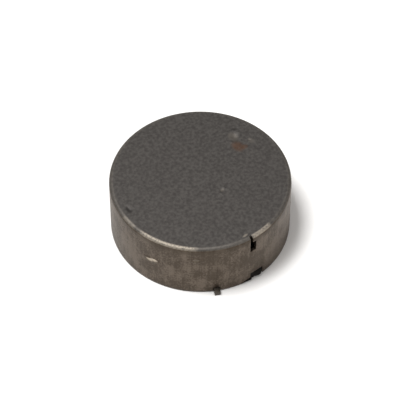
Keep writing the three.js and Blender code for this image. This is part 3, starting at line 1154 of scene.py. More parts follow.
        # Each stretch is painted bright as a highlight at fixed angles round the rim.
        for middle, half, strength in self.painted_rim_highlights:
            along = graph.vector("DOT_PRODUCT", place, polar(1, middle))
            share = graph.math("DIVIDE", along.outputs["Value"], reach)
            inside = graph.fade(share, math.cos(math.radians(half)), math.cos(math.radians(half * full)))
            total = graph.math("MAXIMUM", total, graph.math("MULTIPLY", inside, strength))
        return total


@dataclass(frozen=True)
class SegmentFinish(Finish):
    """Plated copper with the dull track that the brushes rub in it."""

    track_radius: float = 1.45
    track_width: float = 0.3
    track_tone: RGB = (0.16, 0.12, 0.09)
    track_roughness: float = 0.2
    ring: float = 0.02  # the spacing of the fine rings in the track

    def surface(self, graph: Graph, place: Socket) -> Looks:
        """Works out the colour, roughness and height over a segment.

        Args:
            graph: the material's graph.
            place: the socket of the object's coordinates.

        Returns:
            The sockets of the colour, the roughness and the height.
        """
        colour, roughness, height = super().surface(graph, place)
        away = graph.math("ABSOLUTE", graph.math("SUBTRACT", graph.reach(place), self.track_radius * MM))
        track = graph.fade(away, self.track_width * MM, self.track_width * 0.4 * MM)
        rings = graph.use(EFFECTS.lines, Vector=place, Pitch=self.ring * MM).outputs["Height"]
        worn = graph.math("MULTIPLY", track, graph.fade(rings, 0.3, 0.6))
        colour = graph.blend(worn, colour, self.track_tone)
        roughness = graph.math("MULTIPLY_ADD", worn, self.track_roughness, roughness)
        return colour, roughness, graph.math("ADD", height, rings)


def colours(first: int, second: int) -> tuple[RGB, RGB]:
    """Turns two screen colours such as 0x7A756F into the linear tones of a finish.

    Args:
        first: the first colour.
        second: the second colour.

    Returns:
        Both colours as linear light.
    """

    def linear(code: int) -> RGB:
        """Returns one screen colour as linear light."""
        parts = ((code >> 16) & 255, (code >> 8) & 255, code & 255)
        return tuple(((p / 255 + 0.055) / 1.055) ** 2.4 if p > 10 else p / 255 / 12.92 for p in parts)

    return linear(first), linear(second)


BASE_STEEL = Finish(
    "blued base steel", Slot.BASE, colours(0x45403A, 0x504A43), metallic=0.9, roughness=(0.36, 0.5),
    cloud=0.5, marks=Marks.ROLLED, pitch=0.05, relief=0.0015, pitting=0.03, pit_size=0.25,
)
GROUND_STEEL = Finish(
    "ground steel", Slot.GROUND, colours(0xC9C8C4, 0xDAD9D6), roughness=(0.1, 0.2), marks=Marks.TURNED,
    pitch=0.02, relief=0.0006,
)
MAGNET_NICKEL = Finish(
    "nickel plate", Slot.MAGNET, colours(0xB9B4AA, 0xC0BBB1), roughness=(0.2, 0.27), cloud=0.3,
    relief=0.0012, pitting=0.012, pit_size=0.16,
)
AMBER_FILM = Finish(
    "amber polyimide film", Slot.FILM, colours(0xA85C12, 0xC27A22), metallic=0.0, roughness=(0.25, 0.4),
    cloud=1.0, marks=Marks.ROLLED, pitch=0.06, relief=0.001, coat=0.3, subsurface=0.1,
)
TRACE_COPPER = Finish(
    "etched copper", Slot.GOLD, colours(0xC8834A, 0xDB9C63), roughness=(0.25, 0.4), cloud=0.4, relief=0.001,
)
SOLDER_TIN = Finish(
    "reflowed solder", Slot.SOLDER, colours(0xB9BBBC, 0xD2D3D2), roughness=(0.12, 0.3), cloud=0.12,
    relief=0.004, pitting=0.04, pit_size=0.06, pit_tone=(0.2, 0.17, 0.12),
)
BRUSH_ALLOY = Finish(
    "spring alloy", Slot.BRUSH, colours(0xC99E4F, 0xDDB768), roughness=(0.18, 0.32), cloud=0.35,
    marks=Marks.ROLLED, pitch=0.02, relief=0.0008,
)
WASHER_POLYMER = Finish(
    "ivory polymer", Slot.WASHER, colours(0xDDD7C6, 0xE9E5D8), metallic=0.0, roughness=(0.35, 0.55),
    cloud=0.3, marks=Marks.TURNED, pitch=0.02, relief=0.001, subsurface=0.25,
)
SINTERED_BRONZE = Finish(
    "sintered bronze", Slot.SINTER, colours(0x8F6534, 0xB98C52), roughness=(0.38, 0.6), cloud=0.12,
    relief=0.006, pitting=0.55, pit_size=0.05, pit_tone=(0.09, 0.05, 0.025),
)
BOARD_LAMINATE = Finish(
    "green solder mask", Slot.BOARD, colours(0x1A4F35, 0x1F583C), metallic=0.0, roughness=(0.3, 0.4),
    cloud=0.2, relief=0.002, pitting=0.03, pit_size=0.15, pit_tone=(0.12, 0.2, 0.12), coat=0.4,
)
PLATED_GOLD = SegmentFinish(
    "plated commutator", Slot.GOLD, colours(0xD2A94E, 0xE6C473), roughness=(0.14, 0.26), cloud=0.5,
    relief=0.0008,
)
PAD_GOLD = Finish(
    "plated pad", Slot.GOLD, colours(0xCFA44A, 0xE3C06E), roughness=(0.16, 0.3), cloud=0.2, relief=0.001,
)
ENAMELLED_COPPER = Finish(
    "enamelled copper", Slot.COPPER, colours(0xA64C1E, 0xBA6331), metallic=0.85, roughness=(0.18, 0.28),
    cloud=0.12, relief=0.0006, coat=0.6,
)
TUNGSTEN_ALLOY = Finish(
    "sintered tungsten", Slot.TUNGSTEN, colours(0x707074, 0x7C7C80), roughness=(0.38, 0.5), cloud=0.16,
    relief=0.003, pitting=0.25, pit_size=0.07, pit_tone=(0.07, 0.07, 0.075),
)
# Near black with a weak reflection: partly the sealing compound's own colour, partly painted shade in the
# lead notch. The dark strip at the foot of the wall uses it too.
SEALING_COMPOUND_AND_SHADE = Finish(
    "black sealing compound and painted shade", Slot.SEAL, colours(0x080603, 0x0E0A06), metallic=0.0, roughness=(0.65, 0.78),
    cloud=0.15, relief=0.006, pitting=0.1, pit_size=0.08, pit_tone=(0.004, 0.003, 0.002), specular=0.14,
)
MOULDED_RESIN = Finish(
    "moulded resin", Slot.RESIN, colours(0x191817, 0x262423), metallic=0.0, roughness=(0.42, 0.62),
    cloud=0.25, relief=0.005, pitting=0.08, pit_size=0.09, pit_tone=(0.05, 0.048, 0.045),
)


def install(
    piece: bpy.types.Object, finish: Finish, body: Body, replaces: Sequence[str] = (),
    blend: tuple[Body, Vector, Vector] | None = None,
) -> bpy.types.Object:
    """Dresses a finished piece and puts it on its body; a piece given a blend is only baked in place.

    Args:
        piece: the piece, in place.
        finish: what it is made of.
        body: the body it rides on.
        replaces: the CAD nodes that it stands for.
        blend: for a piece that bends, the second body and the start and end of the bend in millimetres; only
            whether it is given is read, and the piece does not bend.

    Returns:
        The piece.
    """
    piece.data.materials.clear()
    piece.data.materials.append(finish.material())
    if blend:
        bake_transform(piece)
    else:
        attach(piece, body.value)
    if replaces:
        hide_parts(*replaces)
    log.info("%-22s %-13s %6d faces", piece.name, body.value, len(piece.data.polygons))
    return piece


# ---- The case ----


@dataclass(frozen=True)
class Dent:
    """A mark pressed into the case."""

    centre: Vector
    along: Vector
    inward: Vector
    reach: tuple[float, float]  # along and across
    depth: float
    lip: float = 0.0
    edge: float = 2.4  # how many times its reach it ends at
    skin: float = 0.6  # points deeper than this stay where they are

    def holds(self, place: Vector) -> bool:
        """Whether a place is close enough for the dent to move it."""
        return (place - self.centre).length < self.edge * max(self.reach)

    def push(self, place: Vector) -> Vector:
        """Works out how far the dent moves a point of the surface.

        Args:
            place: the point.

        Returns:
            Its move.
        """
        bowl_fall, lip_fall, lip_at = 2.2, 8.0, 1.15
        away = place - self.centre
        across = self.along.cross(self.inward)
        spread = math.hypot(away.dot(self.along) / self.reach[0], away.dot(across) / self.reach[1])
        if spread > self.edge or abs(away.dot(self.inward)) > self.skin:
            return Vector()
        bowl = math.exp(-bowl_fall * spread**2) * self.depth
        rim = math.exp(-lip_fall * (spread - lip_at) ** 2) * self.lip
        return self.inward * (bowl - rim)


@dataclass
class DrawnCase:
    """The drawn steel cup with its slit, its lead notch and the notches for the ears."""

    steps: int = 240
    sheet: float = 0.19
    fillet: float = 0.2
    slit_width: float = 0.38
    slit_levels: tuple[float, float] = (2.55, 3.3)
    slit_angle: float = -95.4
    neck_width: float = 0.16
    neck_angle: float = -96.6
    neck_inner: float = 4.79
    exit_width: float = 0.85
    exit_height: float = 0.62
    exit_angle: float = -92.2
    ear_notch: float = 0.37
    ear_height: float = 0.32
    ear_angles: tuple[float, ...] = (-120.0, 0.0, 120.0)
    seam_angle: float = -120.0
    seam_width: float = 0.07
    seam_depth: float = 0.016
    socket_radius: float = 0.43
    socket_depth: float = 0.08
    ring_step: float = 0.37
    level_step: float = 0.27
    wall_reach: float = 3.5  # faces closer to the axis than this are no part of the wall
    # the angle, level and length of each nick in the wall, and how bare it is
    nick_places: tuple[tuple[float, float, float, float], ...] = (
        (-163.7, 1.88, 0.3, 1.0), (-160.5, 1.98, 0.3, 1.0), (-132.9, 2.78, 0.24, 0.22),
    )
    nick_size: tuple[float, float, float] = (0.12, 0.05, 0.02)  # its height, depth and lip
    # the middle, half width and strength of each stretch of the rim painted bright as a highlight
    painted_rim_highlights: tuple[tuple[float, float, float], ...] = (
        (-182, 7, 0.26), (-152, 23, 0.55), (-118, 22, 0.07), (-88, 9, 0.56),
    )
    marked_angle: float = 169.4
    marked_radius: float = 4.42
    extent: Extent = field(default_factory=lambda: Extent.of("case_cup"))

    def radius(self) -> float:
        """The case's outer radius."""
        return self.extent.radius

    def dents(self) -> list[Dent]:
        """Lists the dents in the top and the nicks in the wall.

        Returns:
            The dents.
        """
        top, radius = self.extent.top, self.radius()
        down = -UP
        marked = polar(self.marked_radius, self.marked_angle, top)
        marks = [
            Dent(Vector((3.4, 1.05, top)), polar(1, 60), down, (0.44, 0.27), 0.032, 0.008),
            Dent(Vector((3.8, 1.54, top)), polar(1, -35), down, (0.26, 0.12), 0.02),
            Dent(Vector((3.92, 0.28, top)), polar(1, -62), down, (0.26, 0.08), 0.012, 0.006),
            Dent(marked, polar(1, self.marked_angle + 90), down, (0.28, 0.15), 0.036),
            Dent(Vector((0.37, -1.41, top)), polar(1, 20), down, (0.2, 0.12), 0.014, 0.008),
        ]
        width, depth, lip = self.nick_size
        for angle, level, length, _ in self.nick_places:
            centre, along = polar(radius, angle, level), polar(1, angle + 90)
            marks.append(Dent(centre, along, -polar(1, angle), (length, width), depth, lip))
        return marks

    def profile(self) -> list[Point2]:
        """Works out the outer outline, from the middle of the top down to the open edge.

        Returns:
            The radius and level of each point.
        """
        crease, strip = 0.01, 0.02  # how close rings lie to the socket's edge and to the fillet
        top, bottom, radius = self.extent.top, self.extent.bottom, self.radius()
        flat = radius - self.fillet
        rings = [0.0, self.socket_radius - crease, self.socket_radius + crease]
        ring = self.socket_radius + self.ring_step
        while ring < flat - 0.1:
            rings.append(ring)
            ring += self.ring_step
        corners = [(0, top, 0), (radius, top, self.fillet), (radius, bottom, 0)]
        corner = rounded(corners, False, steps=10)[1:-1]
        levels = [top - self.fillet - strip]
        while levels[-1] > bottom + self.ear_height + 0.03:
            levels.append(levels[-1] - self.level_step)
        return [(r, top) for r in (*rings, flat - strip)] + corner + [(radius, z) for z in (*levels, bottom)]

    def window(
        self, blank: Blank, angle: float, width: float, low: float, high: float, inside: float = 0.0,
    ) -> None:
        """Cuts a window with straight sides through the shell.

        Args:
            blank: the shell.
            angle: the window's angle in degrees.
            width: its width.
            low: its lower level.
            high: its upper level.
            inside: how close to the axis it reaches, at the top of the case.
        """
        out = polar(1, angle)
        side = polar(1, angle + 90)
        behind, beside, above = 0.5, 0.3, 0.4  # how far round the window the faces are cut

        def near(centre: Vector) -> bool:
            """Whether a face is near the window."""
            return (
                centre.dot(out) > max(inside - behind, self.wall_reach)
                and abs(centre.dot(side)) < width / 2 + beside
                and low - above < centre.z < high + above
            )

        def open_at(centre: Vector) -> bool:
            """Whether a face lies in the window."""
            is_out = centre.dot(out) > max(inside, self.wall_reach)
            return is_out and abs(centre.dot(side)) < width / 2 and low < centre.z < high + WELD

        for half in (-width / 2, width / 2):
            blank.slice(side * half, side, near)
        for level in (low, high):
            blank.slice(UP * level, UP, near)
        if inside:
            blank.slice(out * inside, out, near)
        blank.drop(open_at)

    def seam(self, blank: Blank) -> None:
        """Presses the fine draw line into the wall above one ear.

        Args:
            blank: the shell.
        """
        margin, core = 0.3, 0.3  # how far beside it faces are cut, and the share of its width that sinks
        out = polar(1, self.seam_angle)
        side = polar(1, self.seam_angle + 90)
        low, high = self.ear_height + 0.08, self.extent.top - self.fillet - 0.05

        def near(centre: Vector) -> bool:
            """Whether a face is near the line."""
            is_beside = centre.dot(out) > self.wall_reach and abs(centre.dot(side)) < margin
            return is_beside and low - margin < centre.z < high

        for share in (-1, -0.5, 0, 0.5, 1):
            blank.slice(side * self.seam_width * share / 2, side, near)

        def push(place: Vector) -> Vector:
            """Returns how far the line moves a point of the wall."""
            is_on = place.dot(out) > self.wall_reach and abs(place.dot(side)) < self.seam_width * core
            return out * -self.seam_depth if is_on and low < place.z < high else Vector()

        blank.press(push)

    def press_dents(self, blank: Blank) -> None:
        """Refines the shell near each dent and presses the dents into it.

        Args:
            blank: the shell.
        """
        dents = self.dents()
        for dent in dents:
            for longest, cuts in ((0.15, 7), (0.06, 1)):
                edges = [
                    e for e in blank.bm.edges
                    if e.calc_length() > longest and all(dent.holds(v.co) for v in e.verts)
                ]
                bmesh.ops.subdivide_edges(blank.bm, edges=edges, cuts=cuts, use_grid_fill=True)
        for dent in dents:
            blank.press(dent.push)

    def shell(self) -> Blank:
        """Makes the outer skin of the case with its openings cut and its marks pressed.

        Returns:
            The shell, which has no thickness yet.
        """
        blank = Blank().turn(self.profile(), self.steps, closed=False)
        blank.face_out()
        top, bottom = self.extent.top, self.extent.bottom
        self.window(blank, self.slit_angle, self.slit_width, *self.slit_levels)
        self.window(blank, self.neck_angle, self.neck_width, self.slit_levels[1] - 0.01, top, self.neck_inner)
        self.window(blank, self.exit_angle, self.exit_width, bottom - 1, self.exit_height)
        for angle in self.ear_angles:
            self.window(blank, angle, self.ear_notch, bottom - 1, self.ear_height)
        self.seam(blank)
        self.press_dents(blank)
        return blank.clean()

    def build(self) -> bpy.types.Object:
        """Builds the case and puts it on the stator.

        Returns:
            The case.
        """
        blank = self.shell()
        bmesh.ops.solidify(blank.bm, geom=blank.bm.faces[:], thickness=self.sheet)
        blank.clean(LOOSE_WELD)
        blank.face_out()
        under = self.extent.top - self.sheet

        def push(place: Vector) -> Vector:
            """Returns how far the socket for the shaft's tip lifts a point."""
            is_socket = place.xy.length < self.socket_radius and place.z < under + 0.01
            return UP * self.socket_depth if is_socket else Vector()

        blank.press(push)
        blank.soften(0.018, 2, 55)
        piece = blank.finish("case_shell", sharp=38)
        even_shading(piece)
        return install(piece, self.finish(), Body.STATOR, ["case_cup"])

    def stains(self) -> tuple[tuple[Vector, Vector, RGB, float], ...]:
        """Lists the rusty stains beside the dent and the dark marks on the top.

        Returns:
            The centre, reach, colour and strength of each stain.
        """
        top = self.extent.top
        rust, soot = (0.12, 0.058, 0.03), (0.022, 0.02, 0.019)
        return (
            (Vector((3.08, 0.42, top)), Vector((0.42, 0.55, 0.3)), rust, 0.9),
            (Vector((3.36, 0.16, top)), Vector((0.26, 0.22, 0.3)), rust, 0.7),
            (Vector((3.78, 1.52, top)), Vector((0.28, 0.22, 0.3)), soot, 0.6),
            (polar(self.marked_radius, self.marked_angle, top), Vector((0.24, 0.34, 0.3)), soot, 0.8),
        )

    def finish(self) -> CaseFinish:
        """Works out the case's finish, with its scratched and stained places and the rim's painted
        highlights.

        Returns:
            The finish.
        """
        radius, top = self.radius(), self.extent.top
        nicks = [
            (polar(radius, angle, level), Vector((length, length, 0.15)), share)
            for angle, level, length, share in self.nick_places
        ]
        nicks += [
            (polar(4.65, -99.1, top), Vector((0.24, 0.09, 0.1)), 0.35),
            (Vector((3.34, 1.12, top)), Vector((0.34, 0.44, 0.1)), 0.15),
            (Vector((3.92, 0.28, top)), Vector((0.2, 0.3, 0.1)), 0.1),
            (Vector((0.37, -1.41, top)), Vector((0.18, 0.14, 0.1)), 0.12),
        ]
        return CaseFinish(
            "dark drawn steel", Slot.CASE, colours(0x494644, 0x5D5A57), metallic=0.9, roughness=(0.44, 0.54),
            cloud=0.17, relief=0.005, pitting=0.05, pit_size=0.14, pit_tone=(0.06, 0.056, 0.053),
            top_level=top, radius=radius, nicks=tuple(nicks), painted_rim_highlights=self.painted_rim_highlights,
            stains=self.stains(),
        )


# ---- The base and what is fixed to it ----


@dataclass
class BasePlate:
    """The base plate with its burred boss, its recess and channel, and its three ears."""

    steps: int = 180
    bore: float = 0.41
    boss_radius: float = 0.75
    boss_foot: float = 0.2
    thickness: float = 0.35
    recess_radius: float = 2.3
    recess_depth: float = 0.1
    channel_width: float = 1.9
    channel_inner: float = 1.9
    ear_width: float = 0.33
    ear_thickness: float = 0.3
    ear_root: float = 4.3
    ear_angles: tuple[float, ...] = (-120.0, 0.0, 120.0)
    extent: Extent = field(default_factory=lambda: Extent.of("base_plate"))

    def profile(self) -> list[Point2]:
        """Works out the outline of a section from the bore to the edge.

        Returns:
            The radius and level of each point.
        """
        radius, top = -self.extent.low.x, self.extent.top
        floor = self.thickness - self.recess_depth
        corners = [
            (self.bore, 0, 0.03), (radius, 0, 0.05), (radius, self.thickness, 0.03),
            (self.recess_radius, self.thickness, 0.03), (self.recess_radius, floor, 0.03),
            (self.boss_radius, floor, self.boss_foot), (self.boss_radius, top, 0.07), (self.bore, top, 0.04),
        ]
        return rounded(corners, True, steps=5)

    def build(self) -> None:
        """Builds the plate and puts it on the stator."""
        piece = Blank().turn(self.profile(), self.steps).face_out().finish("base_bracket")
        half = self.ear_width / 2
        root, tip = Vector((self.ear_root, -half, 0)), Vector((self.extent.high.x, half, self.ear_thickness))
        ears = [Blank().box(root, tip, angle).soften(0.03, 3).face_out() for angle in self.ear_angles]
        carve(piece, ears, "UNION")
        half = self.channel_width / 2
        floor, past = self.thickness - self.recess_depth, self.extent.radius + 1
        carve(piece, [Blank().box((-half, -past, floor), (half, -self.channel_inner, 1))])
        ease_edges(piece, 0.012, 2, 50)
        install(piece, BASE_STEEL, Body.STATOR, ["base_plate"])


@dataclass
class LeadSeal:
    """The near-black plug in the lead notch, lumpy as it was dabbed on, partly sealing compound and partly
    painted shade of the notch, and a dark strip along the foot of the wall beside it.
    """

    angle: float = -92.2
    half_width: float = 0.4
    inner: float = 4.81
    outer: float = 4.93
    bulge: float = 0.22
    strip_span: tuple[float, float] = (-104.5, -96.2)  # degrees
    strip_radii: tuple[float, float] = (4.9, 5.07)  # its back and its skin
    strip_height: float = 0.3
    strip_steps: int = 14
    extent: Extent = field(default_factory=lambda: Extent.of("lead_seal"))

    def build(self) -> None:
        """Builds the plug and the dark strip and puts them on the stator."""
        self.flow(self.plug(), "lead_plug", ["lead_seal"])
        self.flow(self.dark_foot_strip(), "lead_plug_foot_strip", [])

    def flow(self, blank: Blank, name: str, replaces: Sequence[str]) -> None:
        """Rounds a dark lump as if it had flowed, and puts it on the stator.

        Args:
            blank: the lump.
            name: the piece's name.
            replaces: the frame's nodes that it stands for.
        """
        install(flowed(blank, name, 70), SEALING_COMPOUND_AND_SHADE, Body.STATOR, replaces)

    def plug(self) -> Blank:
        """Makes the plug, swollen towards one side.

        Returns:
            The plug.
        """
        lean, tilt, ripple = 2.6, 0.5, 0.45  # how the swelling leans across and up, and how uneven it is
        low, high, half = self.extent.bottom, self.extent.top, self.half_width
        plug = Blank().box((self.inner, -half, low), (self.outer, half, high))
        bmesh.ops.subdivide_edges(plug.bm, edges=plug.bm.edges[:], cuts=5, use_grid_fill=True)

        def dab(place: Vector) -> Vector:
            """Works out how far the outer face swells.

            Args:
                place: a point of the plug.

            Returns:
                The point's move.
            """
            if place.x < self.outer - WELD:
                return Vector()
            across, up = place.y / half, (place.z - low) / (high - low) * 2 - 1
            middle = max(0.0, 1 - across**4) * max(0.0, 1 - up**4)
            share = 1 - ripple + ripple * math.sin(lean * across - tilt * up)
            return Vector((self.bulge * middle * share, 0, 0))

        return plug.press(dab).swing(self.angle)

    def dark_foot_strip(self) -> Blank:
        """Makes the dark strip, which thins out along the foot of the wall beside the notch.

        Returns:
            The strip.
        """
        thinnest, slope, fall, wave, waves, draw = 0.9, 0.7, 0.85, 0.12, 9, 0.35
        low = self.extent.bottom
        start, end = self.strip_span
        blank = Blank().fan(self.strip_radii, start, end, self.strip_steps, low).lift(self.strip_height)

        def thin(place: Vector) -> Vector:
            """Works out how far the strip is lowered and drawn in towards its end.

            Args:
                place: a point of the smear.

            Returns:
                The point's move.
            """
            angle = math.degrees(math.atan2(place.y, place.x))
            share = (end - angle) / (end - start)
            lowered = min(thinnest, fall * share**slope + wave * math.sin(waves * share) * share)
            out = place.xy.length - self.strip_radii[0]
            return UP * (place.z - low) * -lowered + polar(-draw * out * share, angle)

        return blank.press(thin)


@dataclass
class FixedShaft:
    """The shaft pressed into the boss, with a centre mark in its foot."""

    steps: int = 96
    bevel: float = 0.06
    mark: float = 0.09
    extent: Extent = field(default_factory=lambda: Extent.of("shaft"))

    def build(self) -> None:
        """Builds the shaft and puts it on the stator."""
        low, high, radius = self.extent.bottom, self.extent.top, self.extent.radius
        corners = [
            (0, low + self.mark / 2, 0), (self.mark, low, 0.01), (radius, low, self.bevel),
            (radius, high, self.bevel), (0, high, 0),
        ]
        blank = Blank().turn(rounded(corners, False, 5), self.steps, closed=False)
        install(blank.face_out().finish("motor_shaft"), GROUND_STEEL, Body.STATOR, ["shaft"])


@dataclass
class RingMagnet:
    """The flat ring magnet, with the rounded edges that plating leaves."""

    steps: int = 180
    inner: float = 2.35
    edge: float = 0.07
    extent: Extent = field(default_factory=lambda: Extent.of("ring_magnet"))

    def build(self) -> None:
        """Builds the magnet and puts it on the stator."""
        blank = ring_of(self.inner, self.extent.radius, self.extent, self.edge, 5, self.steps)
        install(blank.finish("field_magnet"), MAGNET_NICKEL, Body.STATOR, ["ring_magnet"])


def strip_along(points: Sequence[Vector], width: float, height: float) -> Blank:
    """Lays a flat strip along a level path.

    Args:
        points: the path's points, all at the level of the strip's underside.
        width: the strip's width.
        height: how thick it is.

    Returns:
        The strip.
    """
    blank = Blank()
    way = (points[1] - points[0]).normalized()
    side = UP.cross(way) * width / 2
    edge = blank.bm.edges.new([blank.bm.verts.new(points[0] + s) for s in (side, -side)])
    for here, there, after in zip(points, points[1:], [*points[2:], points[-1] * 2 - points[-2]]):
        grown = bmesh.ops.extrude_edge_only(blank.bm, edges=[edge])
        fresh = [g for g in grown["geom"] if isinstance(g, bmesh.types.BMEdge)]
        edge = next(g for g in fresh if not any(v in edge.verts for v in g.verts))
        ahead = (after - here).normalized()
        bmesh.ops.translate(blank.bm, verts=edge.verts[:], vec=there - here)
        turn = way.rotation_difference(ahead).to_matrix()
        bmesh.ops.rotate(blank.bm, verts=edge.verts[:], cent=there, matrix=turn)
        way = ahead
    return blank.lift(height)


@dataclass
class FlexCircuit:
    """The amber film that carries two copper traces from the lead lands to the brushes."""

    hole: float = 1.0
    tongue: float = 1.8
    tongue_root: float = 1.5
    tongue_inset: float = 0.03
    edge: float = 0.012
    trace_width: float = 0.2
    trace_height: float = 0.006
    trace_lift: float = 0.001
    trace_bends: tuple[Point2, ...] = ((0.34, -4.0), (0.5, -2.6), (0.72, -2.0))  # on the +X side
    land_width: float = 0.36
    pad_border: float = 0.03
    extent: Extent = field(default_factory=lambda: Extent.of("brush_flex_circuit"))

    def build(self) -> None:
        """Builds the film, its traces and its lands and puts them on the stator."""
        self.build_film()
        for letter, side in (("a", -1), ("b", 1)):
            self.build_trace(letter, side)
            self.build_land(letter)

    def build_film(self) -> None:
        """Builds the film."""
        low, high = self.extent.bottom, self.extent.top
        height = high - low
        film = Blank().disc(self.extent.radius, 128, low, height).finish("flex_film")
        half, end = self.tongue / 2, self.extent.low.y + self.tongue_inset
        carve(film, [Blank().box((-half, end, low), (half, -self.tongue_root, high)).face_out()], "UNION")
        carve(film, [Blank().disc(self.hole, 96, low - 1, 2)])
        film = reopen(film).merge_flats().finish("flex_film")
        ease_edges(film, self.edge, 2)
        install(film, AMBER_FILM, Body.STATOR, ["brush_flex_circuit"])

    def build_trace(self, letter: str, side: int) -> None:
        """Builds the trace from one land to one brush.

        Args:
            letter: the brush's letter.
            side: -1 for the trace on the -X side, 1 for the other.
        """
        level = self.extent.top + self.trace_lift
        land = Extent.of(f"lead_land_{letter}").centre
        foot = Extent.of(f"brush_foot_{letter}")
        bends = [(side * x, y, level) for x, y in self.trace_bends]
        knots = [(land.x, land.y, level), *bends, (foot.centre.x, foot.centre.y - 0.08, level)]
        trace = strip_along(smooth_path(knots, 8), self.trace_width, self.trace_height)
        piece = trace.finish(f"flex_trace_{letter}")
        over, top = self.pad_border, level + self.trace_height
        half = self.land_width / 2 + over
        pads = (
            ((foot.low.x - over, foot.low.y - over, level), (foot.high.x + over, foot.high.y, top)),
            ((land.x - half, land.y - 2 * over, level), (land.x + half, land.y + 6 * over, top)),
        )
        carve(piece, [Blank().box(*pad).face_out() for pad in pads], "UNION")
        install(piece, TRACE_COPPER, Body.STATOR)

    def build_land(self, letter: str) -> None:
        """Builds the lump of solder on one lead land.

        Args:
            letter: the land's letter.
        """
        droop, steepness = 0.72, 3.2  # how far the edges sink, as a share of the height, and how soon
        extent = Extent.of(f"lead_land_{letter}")
        lump = Blank().box(extent.low, extent.high)
        bmesh.ops.subdivide_edges(lump.bm, edges=lump.bm.edges[:], cuts=3, use_grid_fill=True)
        middle, size = extent.centre, extent.high - extent.low

        def swell(place: Vector) -> Vector:
            """Works out how far the block's upper side sinks.

            Args:
                place: a point of the block.

            Returns:
                The point's move.
            """
            away = Vector(((place.x - middle.x) / size.x, (place.y - middle.y) / size.y))
            above = max(0.0, place.z - extent.bottom)
            return UP * -above * droop * min(1.0, steepness * away.length_squared)

        piece = flowed(lump.press(swell), f"lead_solder_{letter}", 80)
        install(piece, SOLDER_TIN, Body.STATOR, [f"lead_land_{letter}"])


